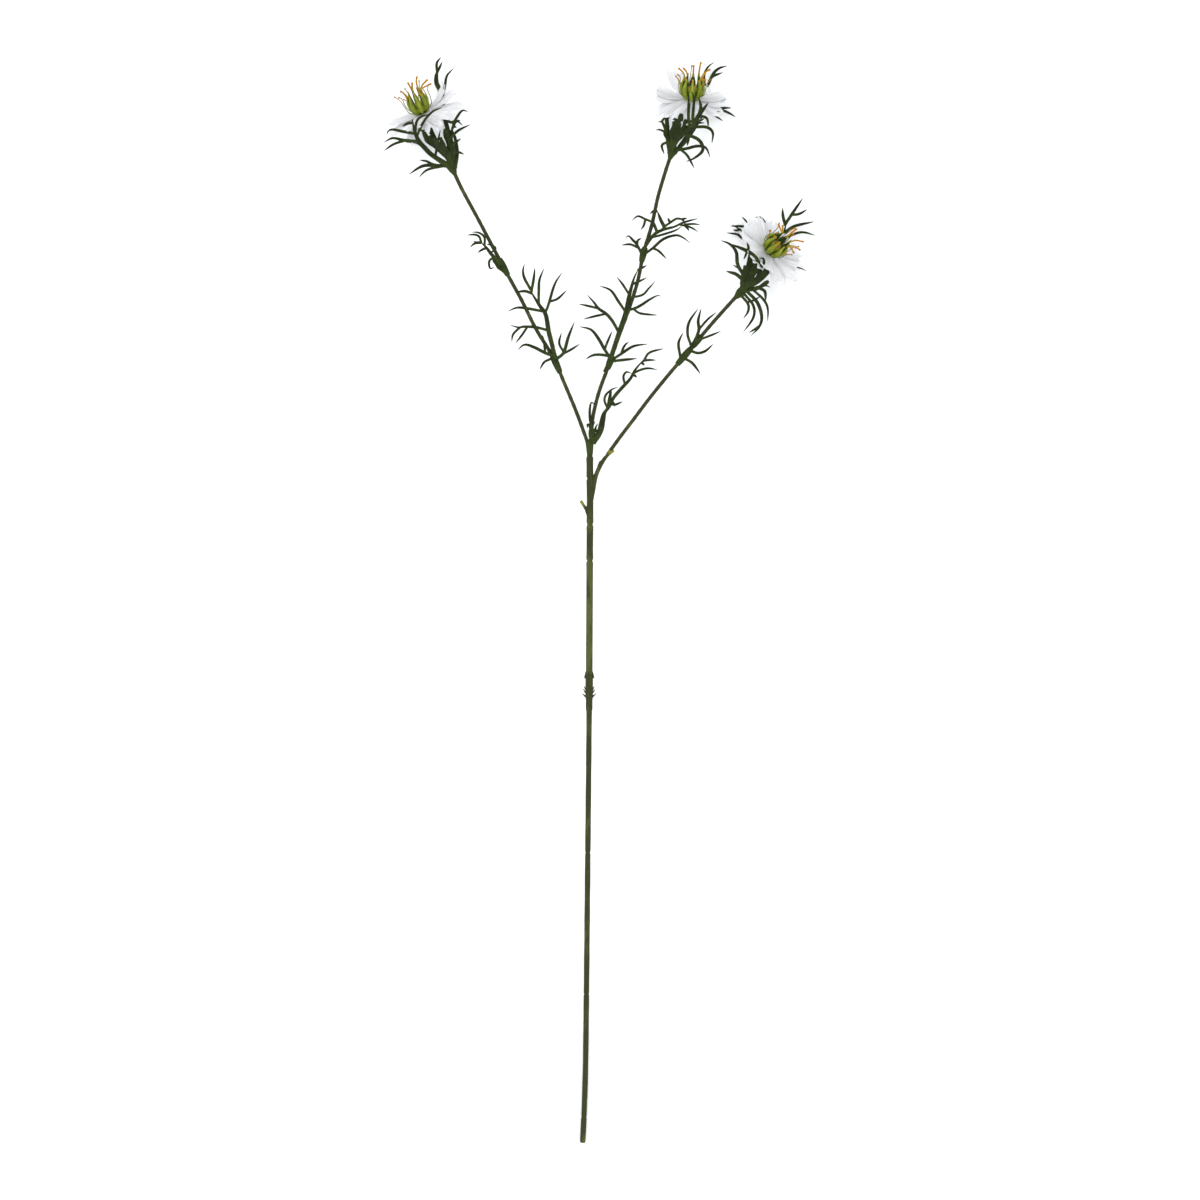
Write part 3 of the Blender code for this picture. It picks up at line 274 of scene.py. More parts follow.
# The ferny bracts that cage each flower
LEFT_BRACTS = (
    (1.1, 25, ((-100, 287), (-110, 293.5), (-116, 299), (-120, 304), (-122.5, 310), (-124, 317.5))),
    (0.6, 1, ((-123.5, 315), (-127, 314.5), (-130.5, 312.5))),
    (0.7, -9, ((-121.7, 308), (-130, 309.5), (-137, 311), (-140, 310), (-141, 307.5))),
    (0.7, -5, ((-119.3, 303), (-130, 304), (-137, 305.3), (-143, 302.5))),
    (0.6, -5, ((-128, 303.8), (-136, 301.5), (-143, 297))),
    (0.6, 7, ((-122, 309), (-121, 316), (-118, 319), (-113, 320.5))),
    (0.6, 9, ((-121, 306), (-117, 315), (-111, 322), (-104, 325))),
    (0.8, -6, ((-99, 286), (-106, 287.5), (-117, 287.5), (-126.5, 282))),
    (0.6, 2, ((-108, 287.6), (-112, 289), (-115, 290.5), (-119.5, 291.2))),
    (0.6, -4, ((-103, 287), (-114, 285), (-120, 280))),
    (0.6, 2, ((-98.5, 301), (-96, 302.5), (-92, 305))),
    (0.6, 4, ((-99.3, 304), (-94, 310), (-86, 314))),
    (0.6, -3, ((-97, 296), (-94, 296.3), (-90, 295))),
    (0.8, -5, ((-95.5, 286), (-94.5, 296), (-96, 306), (-98, 311), (-97, 317))),
    (0.5, -2, ((-97.8, 311.5), (-95, 317), (-91, 314.5))),
    (0.6, -2, ((-97.3, 315), (-94, 321), (-91, 324.3), (-87.5, 323.5))),
    (0.6, 2, ((-97, 316.3), (-99.5, 316.6), (-101.4, 318.2), (-101.5, 321))),
    (0.6, 0, ((-98, 316.8), (-95.5, 317), (-92.5, 317.7))),
    (0.5, 0, ((-98.3, 313.5), (-97, 313.6), (-95, 313))),
    (1.0, 0, ((-96, 288), (-97, 298, 14), (-101, 312, 5), (-104, 325, 2.4), (-105, 336, 3.6), (-108, 341, 7),
              (-109, 347, 8), (-108, 352, 9))),
    (1.05, 0, ((-105, 337, 4.7), (-106.8, 339.5, 6), (-108.4, 343, 7.3), (-108.6, 347, 8), (-107.4, 352.5, 9))),
    (0.6, 1, ((-108.2, 350), (-108.3, 356), (-105.5, 360))),
    (0.6, 3, ((-108.7, 348), (-106, 354), (-104.5, 357))),
    (0.6, 3, ((-104.5, 333), (-102.8, 342), (-101.5, 348), (-97, 353))),
    (0.9, 0, ((-100, 286), (-107, 291.5, 16), (-114, 297.5, 9), (-121, 303.2, 3), (-129, 304, 1.2))),
    (0.6, 0, ((-116, 299), (-120.2, 304.5, 5), (-122.3, 310, 3), (-122.5, 315, 1.5))),
    (0.6, 0, ((-110, 292.5), (-108, 302, 6), (-106, 312, 1.5))),
)
CENTRE_BRACTS = (
    (0.6, 3, ((43.3, 310), (41, 316), (38.5, 316))),
    (0.5, -2, ((43, 308.5), (40, 311), (37, 311))),
    (0.6, -3, ((45.5, 303), (41, 301), (42.5, 295))),
    (0.5, 2, ((44, 312.5), (44.5, 317), (46, 319.5))),
    (1.0, 9, ((60, 313.5), (66, 321), (71.5, 328))),
    (0.7, 8, ((59.5, 312.5), (58.5, 318), (58.5, 325), (58.5, 334))),
    (0.7, 8, ((60.5, 314), (61.3, 320), (62, 331), (60, 336))),
    (0.7, 2, ((65, 319.5), (66.5, 326), (65, 332))),
    (0.6, -2, ((65, 319.5), (69, 319), (71, 317), (71.5, 312))),
    (0.7, -9, ((60, 313), (70, 312.5), (74.5, 309), (74, 302))),
    (0.8, -6, ((56, 307), (64, 305), (67.5, 301), (67.5, 296.5), (62, 292), (57, 290))),
    (0.7, -4, ((51, 297.5), (58, 299), (64, 300.5), (70, 299.5), (73, 293))),
    (0.6, -6, ((53.5, 298), (58, 294), (62.5, 286))),
    (1.0, 0, ((50, 296), (56, 305, 14), (62, 314, 8), (67, 320.5, 5), (72, 323.3, 4), (77.5, 324.8, 4))),
    (0.6, 0, ((76.5, 324.5), (80, 326.2, 4), (83.5, 326.6, 4), (87, 326.5, 5))),
    (0.6, 0, ((77, 324.7), (81.5, 324.8, 4), (86, 323, 4), (90, 320.5, 4))),
    (0.5, 0, ((72, 323.3), (77, 321, 3), (81.5, 318, 3))),
    (1.0, 0, ((49, 296), (57, 305, 12), (65, 318, 4), (70, 334, 3), (72.5, 345, 5))),
    (0.7, 1, ((72, 342), (75, 349), (79, 352.8), (84.5, 354.5))),
    (0.6, 2, ((72.4, 344), (75, 347.5), (81.5, 350))),
    (0.6, 2, ((70.5, 336), (69, 347), (71.5, 353.5), (76, 357))),
    (1.0, 0, ((46, 296), (45, 305, 12), (44.5, 316, 5), (43, 331, 2), (38, 338.3, 1.5))),
    (0.5, 2, ((61, 314), (65, 315), (69, 315))),
    (0.5, 2, ((63.5, 317.4), (66, 316.5), (69, 318))),
    (0.6, 0, ((57.2, 308.2), (58.5, 305), (57.5, 300))),
    (0.5, 1, ((41, 316), (42, 318), (45, 319))),
)
RIGHT_BRACTS = (
    (0.8, 8, ((96, 214), (91, 222), (90, 230), (86, 235), (80, 237.5))),
    (0.8, -2, ((95, 211.5), (90, 215.5), (83.5, 217.5))),
    (0.9, 14, ((106, 220), (103, 226), (97, 230.5), (86, 235))),
    (0.6, 5, ((97.5, 230), (98, 233), (97, 236))),
    (0.6, -1, ((104, 221), (108, 222), (108, 225.5), (105, 226))),
    (0.65, -5, ((94, 201), (98, 196), (98, 191), (95, 186.5))),
    (0.65, -8, ((96, 202.5), (101.5, 195), (101.5, 187), (95, 177.5))),
    (0.8, -3, ((97, 204), (104, 197), (107, 188), (105.5, 181), (100, 175))),
    (0.5, -2, ((105.5, 182), (102, 179), (98.5, 177))),
    (0.6, -4, ((101, 205.8), (108, 199), (111, 193), (111, 184.5))),
    (0.7, 3, ((104, 208), (109, 204), (109.5, 197.5))),
    (0.6, 3, ((105.5, 209.5), (108.5, 208), (112.5, 207))),
    (1.0, 0, ((93, 205), (96, 213, 12), (99, 225, 5), (100.5, 236, 3), (98.5, 242, 3), (95, 244.5, 3),
              (91.5, 246.8, 3), (88, 249, 4))),
    (0.6, 0, ((100.3, 237), (94, 240.5, 3), (91, 242.7, 3), (84, 243.7, 4))),
    (0.6, 0, ((99, 241.3), (97, 246, 3), (94.5, 248, 3), (86.5, 248.2, 4))),
    (0.5, 0, ((92.5, 246.2), (91, 245.3, 3), (88.5, 245.6, 3))),
    (0.5, 0, ((97, 246), (97, 251, 3), (94, 254.5, 4))),
    (1.0, 0, ((93, 206), (98, 217, 10), (104, 230, 3), (109, 243, 2), (111, 250, 3))),
    (0.6, 0, ((110.5, 248.5), (107, 253.5, 4), (103, 254, 5))),
    (1.0, 0, ((95, 205), (108, 214, 8), (118, 228, 3), (122, 243, 5), (123.5, 251, 10))),
    (0.7, 2, ((123, 248.5), (121.5, 254), (121, 260))),
    (0.7, 3, ((123.3, 250), (128, 257), (134.5, 266.5))),
    (0.6, 3, ((127, 255.5), (132, 256), (137.5, 259))),
    (0.7, 3, ((122, 243.5), (129, 248), (142, 251))),
    (0.6, 1, ((121, 239.5), (133, 244), (143, 242))),
    (0.8, 0, ((96, 204), (104, 212, 9), (113, 218, 4), (121, 219.5, 3), (128, 220.8, 2), (133, 220.3, 2),
              (137, 218.5, 2))),
    (0.6, 0, ((121, 219.5), (125, 216.2, 3), (130, 211.5, 3))),
    (0.5, 1, ((96.3, 215.5), (93, 218.5), (88, 221.5))),
    (0.5, 2, ((98, 197.5), (102, 198.5), (106, 201))),
    (0.5, -2, ((97.3, 230.6), (96.3, 228), (95, 225))),
)

# The broad, blunt lobes at the foot of each flower: half width, rise and points
LEFT_BLADES = (
    (2.0, 19, ((-98.5, 287), (-100.5, 290.8), (-106.5, 298), (-112.5, 302.5), (-115, 306), (-117, 310.5))),
    (2.4, 23, ((-98.5, 289), (-101.2, 293.5), (-106, 300), (-108.4, 302.5), (-109, 305))),
    (2.0, 22, ((-97, 288), (-101, 293.5), (-107.5, 300), (-110.8, 303.5), (-112.6, 306.6))),
    (2.3, 18, ((-97, 287), (-97.3, 293), (-99.8, 301), (-102.3, 311.3))),
    (1.7, 20, ((-97.5, 288), (-99.5, 294), (-103.2, 300), (-105.6, 305.5))),
    (1.6, 12, ((-98, 290), (-98.2, 296), (-98.6, 303), (-98.4, 310.5))),
)
CENTRE_BLADES = (
    (2.4, 9, ((47.5, 296), (46.9, 301.5), (44.8, 306.5), (43.9, 310), (44.5, 314))),
    (2.5, 17, ((48, 297), (47.9, 302), (48.0, 308), (49.2, 313), (50.5, 318))),
    (1.9, 20, ((48.5, 297), (48.8, 302), (50.6, 308), (52.5, 314), (53.7, 321.2))),
    (1.8, 19, ((49.5, 297), (49.6, 302), (52.4, 307), (54.8, 311.5), (57, 317.3))),
    (2.2, 21, ((49.6, 296), (49.4, 301.5), (51.8, 306), (56.8, 309.8), (62, 313.2))),
    (1.6, 20, ((50.5, 297), (50.4, 302), (54, 307), (57.5, 312), (59.5, 317))),
)
RIGHT_BLADES = (
    (2.4, 15, ((93, 204), (94, 208), (94.6, 212.5), (95.8, 217), (96.5, 221))),
    (1.6, 13, ((94, 204), (96.4, 209.5), (98.6, 214), (100.7, 218.5))),
    (2.0, 15, ((95, 205), (98.8, 211), (102.4, 217), (104.6, 223))),
    (1.9, 16, ((95, 203.5), (101.4, 210.2), (106.2, 213.6), (109.8, 217.5))),
    (1.6, 13, ((95, 203), (101.5, 205.4), (107, 207.8), (111.5, 210.8))),
    (1.6, 12, ((95, 204), (99.8, 209.5), (104.4, 214), (106.5, 219.5))),
)


HEADS = {
    # The flower's centre and facing seen from above (degrees right of +Y), and its tilt towards +Z.
    # girth: the pod's width over the usual one.
    # petals: (turn, lean, length, half width) of each, the turn counted from the side, towards the camera. A fifth
    # number, from -1 to 1 across its end, draws the petal to a single point there.
    # styles: (turn, distance along the axis, distance from it) of each style's end.
    "left": {
        "centre": (-116.5, 320.5), "facing": -25, "tilt": 20, "girth": 0.86, "line": LEFT_LINE,
        "bracts": LEFT_BRACTS, "blades": LEFT_BLADES,
        "lower": ((16, -9, 29, 5.8), (84, -13, 25.5, 6.6), (134, -24, 25, 4.6), (174, -5, 27.5, 6.2),
                  (216, -2, 25, 6.0), (302, -6, 24.5, 5.6)),
        "upper": ((-9, 8, 27.5, 5.6), (58, -12, 26, 7.4), (118, 0, 25.5, 6.8), (188, 7, 25, 6.2),
                  (246, -6, 24, 5.8), (-30, 20, 26.5, 3.6)),
        "styles": ((160, 23.3, 8), (265, 24, 6), (290, 22.5, 7), (320, 25.2, 9), (342, 20.6, 13),
                   (5, 18.5, 13.5), (60, 19, 7.5), (125, 18.5, 8)),
    },
    "centre": {
        "centre": (60.5, 330.0), "facing": 4, "tilt": 30, "girth": 1.0, "line": CENTRE_LINE,
        "bracts": CENTRE_BRACTS, "blades": CENTRE_BLADES,
        "lower": ((35, -5, 25.5, 6.0), (92, -14, 25, 6.0), (150, -14, 26, 6.2), (176, 6, 26.5, 6.0),
                  (258, -4, 24.5, 5.8), (12, 6, 24.5, 5.4)),
        "upper": ((-8, 8, 24.5, 6.0), (62, -8, 25, 6.0), (128, -14, 26, 6.4), (188, 9, 26.5, 6.4),
                  (238, 21, 27.5, 6.0, 0.8), (292, -4, 24, 5.8)),
        "styles": ((200, 22.4, 11), (225, 21, 10), (268, 23.7, 7), (300, 26, 9), (345, 23.6, 11.5),
                   (38, 20.3, 11), (92, 17.5, 6.5), (140, 18.5, 7.5)),
    },
    "right": {
        "centre": (111.5, 230.5), "facing": 51, "tilt": 46, "girth": 1.0, "line": RIGHT_LINE,
        "bracts": RIGHT_BRACTS, "blades": RIGHT_BLADES,
        "lower": ((28, 0, 26, 5.8), (88, 14, 25, 6.0), (148, 2, 25.5, 6.0), (208, 0, 25.5, 5.8),
                  (270, -2, 24, 5.8), (330, 3, 25.5, 5.8)),
        "upper": ((-5, 0, 26.5, 5.8), (62, 20, 25, 6.0), (112, 15, 26, 6.2), (178, 3, 27, 6.0),
                  (236, -2, 25.5, 5.4), (303, 2, 25, 5.8)),
        "styles": ((215, 16.5, 12.5), (230, 17, 12), (270, 24.3, 10), (325, 24.6, 12), (350, 22, 13),
                   (20, 21.7, 12.5), (90, 17.5, 7.5), (140, 17.5, 7.5)),
    },
}
LEAVES = {
    # The line it grows on, where its sheath starts and ends along y, the sheath's bulges, and its strands.
    "left_lower": (LEFT_LINE, 152.0, 161.0, 1, LEFT_LOWER_LEAF),
    "left_upper": (LEFT_LINE, 216.5, 225.0, 1, LEFT_UPPER_LEAF),
    "centre_lower": (CENTRE_LINE, 154.5, 161.0, 1, CENTRE_LOWER_LEAF),
    "centre_upper": (CENTRE_LINE, 225.4, 232.6, 1, CENTRE_UPPER_LEAF),
    "fork": (CENTRE_LINE, 106.2, 112.5, 1, FORK_LEAF),
    "right": (RIGHT_LINE, 157.5, 174.0, 2, RIGHT_LEAF),
}
GROOVES = (-343.0, -261.6, -167.6)  # mould joints of the lower stem
NODES = (26.0, 50.0, 80.5, 95.5)  # pinched nodes of the upper stem
STUBS = {  # cut side shoots: points seen from above, and radii
    "left": (((-6.9, 54.5), (-8.3, 57.8), (-9.3, 60.2), (-12.8, 65.8)), (1.3, 1.35, 1.05, 1.05)),
    "right": (((3.2, 93.4), (5.0, 95.8), (7.0, 97.4), (9.3, 99.0)), (1.1, 1.05, 0.95, 0.8)),
    "scale": (((-1.4, 86.5), (-0.6, 89.5), (0.2, 92.3)), (1.0, 0.95, 0.5)),
}


# Settings

def colour_setting(name, description, default):
    return bpy.props.FloatVectorProperty(
        name=name, description=description, subtype="COLOR", size=3, default=default, min=0.0, max=1.0)


class SpraySettings(bpy.types.PropertyGroup):
    """What a user would change on the spray."""

    petal_thickness: bpy.props.FloatProperty(
        name="Petal thickness", description="Thickness of the stiffened petal cloth",
        default=0.0003, min=0.0001, max=0.001, subtype="DISTANCE", unit="LENGTH")
    petal_ripple: bpy.props.FloatProperty(
        name="Petal ripple", description="Height of the waves along a petal's edges",
        default=0.0006, min=0.0, max=0.002, subtype="DISTANCE", unit="LENGTH")
    carpels: bpy.props.IntProperty(
        name="Carpels", description="Carpels in each seed pod", default=8, min=5, max=10)
    filaments: bpy.props.IntProperty(
        name="Filaments", description="Thin stamen filaments round each seed pod", default=9, min=5, max=24)
    needle_flatness: bpy.props.FloatProperty(
        name="Needle flatness", description="Thickness of a leaf needle over its width",
        default=0.7, min=0.3, max=1.0)
    petal_colour: colour_setting("Petals", "Colour of the petal cloth", (0.63, 0.63, 0.645))
    leaf_colour: colour_setting("Leaves", "Colour of the moulded leaves and bracts", (0.0155, 0.0225, 0.0044))
    rib_colour: colour_setting("Ribs", "Colour of the sheaths and ribs of the leaves", (0.030, 0.046, 0.0084))
    stem_colour: colour_setting("Stem", "Colour of the stem and branches", (0.0298, 0.0345, 0.0095))
    olive_colour: colour_setting("Stem patches", "Colour of the lighter patches on the stem", (0.078, 0.084, 0.021))
    tip_colour: colour_setting("Cut tips", "Colour of the cut ends of the side shoots", (0.198, 0.18, 0.025))
    pod_colour: colour_setting("Pods", "Colour of the seed pods", (0.195, 0.245, 0.010))
    style_colour: colour_setting("Styles", "Colour of the styles and anthers", (0.42, 0.178, 0.003))
    wire_colour: colour_setting("Wires", "Colour of the galvanised wire cores", (0.55, 0.56, 0.58))


class StudioSettings(bpy.types.PropertyGroup):
    """What a user would change on the stage."""

    floor_colour: colour_setting("Floor", "Colour of the floor", (0.97, 0.97, 0.97))
    floor_size: bpy.props.FloatProperty(
        name="Floor size", description="Side of the square floor",
        default=12.0, min=1.0, subtype="DISTANCE", unit="LENGTH")
    sky_strength: bpy.props.FloatProperty(
        name="Sky strength", description="Brightness of the even light from all sides", default=1.35, min=0.0)
    lamp_power: bpy.props.FloatProperty(
        name="Lamp power", description="Power of the large soft lamp, in watts", default=30.0, min=0.0)
    lens: bpy.props.FloatProperty(
        name="Lens", description="Focal length of the camera, in millimetres", default=400.0, min=20.0)
    view_width: bpy.props.FloatProperty(
        name="View width", description="Width that the camera takes in at the spray",
        default=0.7949, min=0.1, subtype="DISTANCE", unit="LENGTH")


# Routes

def height(y, line):
    """Height of a stem's centre: the tail lies on the floor and the spray rises evenly to its heads."""
    if y <= FORK_Y:
        return LOWER_STEM_RADIUS + (FORK_HEIGHT - LOWER_STEM_RADIUS) * (y - TAIL_Y) / (FORK_Y - TAIL_Y)
    head_y = line[-1][1]
    return FORK_HEIGHT + (HEAD_HEIGHT - FORK_HEIGHT) * (y - FORK_Y) / (head_y - FORK_Y)


def raised(plan, line):
    return [Vector((x, y, height(y, line))) for x, y in plan]


def smooth(points, steps):
    """A Catmull-Rom curve through the points, with so many steps between each two."""
    ends = [2 * points[0] - points[1], *points, 2 * points[-1] - points[-2]]
    found = []
    for a, b, c, d in zip(ends, ends[1:], ends[2:], ends[3:]):
        for i in range(steps):
            t = i / steps
            found.append((2 * b + (c - a) * t + (2 * a - 5 * b + 4 * c - d) * t**2
                          + (3 * b - a - 3 * c + d) * t**3) / 2)
    return [*found, points[-1].copy()]


def lengths_along(path):
    found = [0.0]
    for a, b in zip(path, path[1:]):
        found.append(found[-1] + (b - a).length)
    return found


def spaced(path, gap):
    """The path with its points at equal distances of about gap."""
    lengths = lengths_along(path)
    count = max(5, round(lengths[-1] / gap) + 1)
    found, i = [], 0
    for k in range(count):
        target = lengths[-1] * k / (count - 1)
        while i < len(path) - 2 and lengths[i + 1] < target:
            i += 1
        share = (target - lengths[i]) / max(lengths[i + 1] - lengths[i], 1e-9)
        found.append(path[i].lerp(path[i + 1], min(share, 1.0)))
    return found


def nearest(path, point):
    """The place on a polyline that is nearest to a point seen from above, and its distance seen so."""
    aim = point.to_2d()
    best, least = path[0], math.inf
    for a, b in zip(path, path[1:]):
        start, run = a.to_2d(), b.to_2d() - a.to_2d()
        share = max(0.0, min(1.0, (aim - start).dot(run) / max(run.length_squared, 1e-12)))
        place = a.lerp(b, share)
        distance = (place.to_2d() - aim).length
        if distance < least:
            best, least = place, distance
    return best, least


def at_y(path, y):
    """Where a path passes y."""
    for a, b in zip(path, path[1:]):
        if a.y <= y <= b.y:
            return a.lerp(b, (y - a.y) / (b.y - a.y))
    return path[-1].copy() if y > path[-1].y else path[0].copy()


def between(path, start_y, end_y, gap):
    """The stretch of a path between two values of y."""
    inner = [p for p in path if start_y < p.y < end_y]
    return spaced([at_y(path, start_y), *inner, at_y(path, end_y)], gap)


def bump(value, middle, width):
    return math.exp(-(((value - middle) / width) ** 2))


# Modelling

def select(*objects):
    bpy.ops.object.select_all(action="DESELECT")
    for made in objects:
        made.select_set(True)
    bpy.context.view_layer.objects.active = objects[0]


def tidied(made):
    """Merges an object's doubles, turns its faces out and shades it smooth."""
    select(made)
    bpy.ops.object.mode_set(mode="EDIT")
    bpy.ops.mesh.select_all(action="SELECT")
    bpy.ops.mesh.remove_doubles(threshold=WELD)
    bpy.ops.mesh.normals_make_consistent(inside=False)
    bpy.ops.object.mode_set(mode="OBJECT")
    bpy.ops.object.shade_smooth_by_angle(angle=math.radians(SMOOTH_ANGLE))
    return made


def section(flatness=1.0, sides=10, ridge=0.0):
    """A closed outline of unit width for swept(), with a ridge on its upper side."""
    bpy.ops.curve.primitive_nurbs_path_add()
    made = bpy.context.object
    made.data.splines.clear()
    outline = made.data.splines.new("POLY")
    outline.points.add(sides - 1)
    for i, knot in enumerate(outline.points):
        turn = math.tau * i / sides
        lift = ridge * bump(math.sin(turn), 1.0, RIDGE_WIDTH)
        knot.co = (MM * math.cos(turn), MM * (flatness * math.sin(turn) + lift), 0, 1)
    outline.use_cyclic_u = True
    return made


def swept(lines, outline, twist="Z_UP"):
    """Rods of an outline along lines of (points, radii), as one closed mesh object."""
    bpy.ops.curve.primitive_nurbs_path_add()
    made = bpy.context.object
    curve = made.data
    curve.splines.clear()
    for points, radii in lines:
        spline = curve.splines.new("POLY")
        spline.points.add(len(points) - 1)
        for knot, point, radius in zip(spline.points, points, radii):
            knot.co = (*(MM * point), 1)
            knot.radius = radius
    curve.bevel_mode = "OBJECT"
    curve.bevel_object = outline
    curve.use_fill_caps = True
    curve.twist_mode = twist
    select(made)
    bpy.ops.object.convert(target="MESH")
    return tidied(bpy.context.object)


def joined(name, parts, finish):
    """The parts as one named piece. Each part keeps the finish it was given, or takes this one."""
    for part in parts:
        if not part.data.materials:
            part.data.materials.append(finish)
    select(*parts)
    if len(parts) > 1:
        bpy.ops.object.join()
    made = bpy.context.object
    made.name = name
    made.data.name = name
    return made


def stands_for(made, node):
    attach(made, "root")
    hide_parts(node)
    return made


def remove(*helpers):
    select(*helpers)
    bpy.ops.object.delete()


def cloth(rows, thickness):
    """A thin closed sheet through rows of places."""
    across, along = len(rows[0]), len(rows)
    bpy.ops.mesh.primitive_grid_add(x_subdivisions=across - 1, y_subdivisions=along - 1, size=1)
    made = bpy.context.object
    made.data.vertices.foreach_set("co", [MM * c for row in rows for place in row for c in place])
    made.data.update()
    bpy.ops.object.modifier_add(type="SOLIDIFY")
    made.modifiers["Solidify"].thickness = thickness
    made.modifiers["Solidify"].offset = 0
    bpy.ops.object.modifier_apply(modifier="Solidify")
    return tidied(made)


def bore(made, path, wall, depth):
    """Opens a rod's first end: insets the cap by the wall and pushes the rest in."""
    flat, square = 1e-5, 0.9
    start, way = MM * path[0], (path[1] - path[0]).normalized()
    select(made)
    bpy.ops.object.mode_set(mode="EDIT")
    bpy.ops.mesh.select_all(action="DESELECT")
    bpy.ops.object.mode_set(mode="OBJECT")
    for face in made.data.polygons:
        face.select = abs((face.center - start).dot(way)) < flat and abs(face.normal.dot(way)) > square
    bpy.ops.object.mode_set(mode="EDIT")
    bpy.ops.mesh.select_mode(type="FACE")
    bpy.ops.mesh.inset(thickness=wall * MM)
    bpy.ops.mesh.extrude_region_move(TRANSFORM_OT_translate={"value": way * depth * MM})
    bpy.ops.object.mode_set(mode="OBJECT")
    return made


def fused(made, voxel):
    """Overlapping rods as one skin with soft joins."""
    select(made)
    bpy.ops.object.modifier_add(type="REMESH")
    made.modifiers["Remesh"].mode = "VOXEL"
    made.modifiers["Remesh"].voxel_size = voxel * MM
    bpy.ops.object.modifier_apply(modifier="Remesh")
    bpy.ops.object.modifier_add(type="SMOOTH")
    made.modifiers["Smooth"].iterations = SKIN_SMOOTHING
    bpy.ops.object.modifier_apply(modifier="Smooth")
    bpy.ops.object.shade_smooth()
    return made


def blended(values, place):
    """The value at a place between the listed ones, which are one apart."""
    i = min(int(place), len(values) - 2)
    return values[i] + (values[i + 1] - values[i]) * (place - i)


def knobbed(path, radius, knob):
    """A thread's radii, with a rounded knob on its last millimetre and a half."""
    middle, half = 0.75, 0.78
    lengths = lengths_along(path)
    found = []
    for length in lengths:
        left = lengths[-1] - length
        head = math.sqrt(max(0.0, 1 - ((left - middle) / half) ** 2))
        found.append(max(radius * min(1.0, 0.25 + left / 0.4), knob * head))
    return found


# Shading

class Value:
    """A shader node's output, with Python arithmetic."""

    def __init__(self, shader, socket):
        self.shader = shader
        self.socket = socket

    def __add__(self, other):
        return self.shader.maths("ADD", self, other)

    def __radd__(self, other):
        return self.shader.maths("ADD", other, self)

    def __sub__(self, other):
        return self.shader.maths("SUBTRACT", self, other)

    def __rsub__(self, other):
        return self.shader.maths("SUBTRACT", other, self)

    def __mul__(self, other):
        return self.shader.maths("MULTIPLY", self, other)


class Shader:
    """One material's node tree, round a Principled surface."""

    def __init__(self, name, specular=0.3, metallic=0.0, sheen=0.0):
        self.material = bpy.data.materials.new(name)
        self.material.use_nodes = True
        self.tree = self.material.node_tree
        self.surface = self.tree.nodes["Principled BSDF"]
        self.surface.inputs["Specular IOR Level"].default_value = specular
        self.surface.inputs["Metallic"].default_value = metallic
        self.surface.inputs["Sheen Weight"].default_value = sheen

    def node(self, kind, settings, inputs, output=0):
        """A node of a kind, with its settings and then its inputs, as one of its outputs."""
        made = self.tree.nodes.new(kind)
        for name, value in settings.items():
            setattr(made, name, value)
        for name, value in inputs.items():
            self.feed(made.inputs[name], value)
        return Value(self, made.outputs[output])

    def feed(self, socket, value):
        if isinstance(value, Value):
            self.tree.links.new(value.socket, socket)
        else:
            socket.default_value = value

    def maths(self, operation, *values):
        return self.node("ShaderNodeMath", {"operation": operation}, dict(enumerate(values)))

    def place(self, scale=(1, 1, 1)):
        """The place on the object in metres, with each axis scaled."""
        place = self.node("ShaderNodeTexCoord", {}, {}, "Object")
        return self.node("ShaderNodeVectorMath", {"operation": "MULTIPLY"}, {0: place, 1: scale})

    def axis(self, vector, name):
        return self.node("ShaderNodeSeparateXYZ", {}, {"Vector": vector}, name)

    def unwrapped(self, name):
        """A piece's own UV. On a rod X runs along it and Y round it, and on a petal X runs across it and Y along it."""
        return self.axis(self.node("ShaderNodeUVMap", {"uv_map": "UVMap"}, {}), name)

    def noise(self, place, scale, detail, roughness=0.5):
        inputs = {"Vector": place, "Scale": scale, "Detail": detail, "Roughness": roughness}
        return self.node("ShaderNodeTexNoise", {}, inputs)

    def step(self, value, low, high):
        """A smooth step from 0 at low to 1 at high."""
        inputs = {"Value": value, "From Min": low, "From Max": high}
        return self.node("ShaderNodeMapRange", {"interpolation_type": "SMOOTHSTEP"}, inputs)

    def mix(self, factor, first, second):
        inputs = {"Factor": factor, 6: as_colour(first), 7: as_colour(second)}
        return self.node("ShaderNodeMix", {"data_type": "RGBA"}, inputs, 2)

    def finish(self, colour, roughness, relief, depth):
        """Links the colour, the roughness and a bump of a real depth in metres."""
        self.feed(self.surface.inputs["Base Color"], colour)
        self.feed(self.surface.inputs["Roughness"], roughness)
        bumped = self.node("ShaderNodeBump", {}, {"Height": relief, "Distance": depth, "Strength": 0.6})
        self.feed(self.surface.inputs["Normal"], bumped)
        return self.material


def as_colour(value):
    return value if isinstance(value, Value) else (*value, 1.0)


def shade(colour, factor):
    return tuple(c * factor for c in colour)


def leaf_finish(settings, name="leaf_plastic", rib=0.0):
    """Dark moulded plastic, greener at its root. A higher rib makes all of it greener."""
    shader = Shader(name, specular=0.1)
    place = shader.place()
    patch = shader.noise(place, 170.0, detail=4.0, roughness=0.6)
    streak = shader.noise(shader.place((1, 0.35, 1)), 1900.0, detail=2.0)
    root = 1.0 - shader.step(shader.unwrapped("X"), 0.0, 0.7)
    green = shader.step(patch + root * 0.3 + rib, 0.5, 0.82)
    colour = shader.mix(green, settings.leaf_colour, settings.rib_colour)
    colour = shader.mix(shader.step(streak, 0.42, 0.7) * 0.55, colour, shade(settings.leaf_colour, 0.45))
    return shader.finish(colour, 0.5 + streak * 0.2, streak * 0.6 + patch * 0.4, 0.0002)


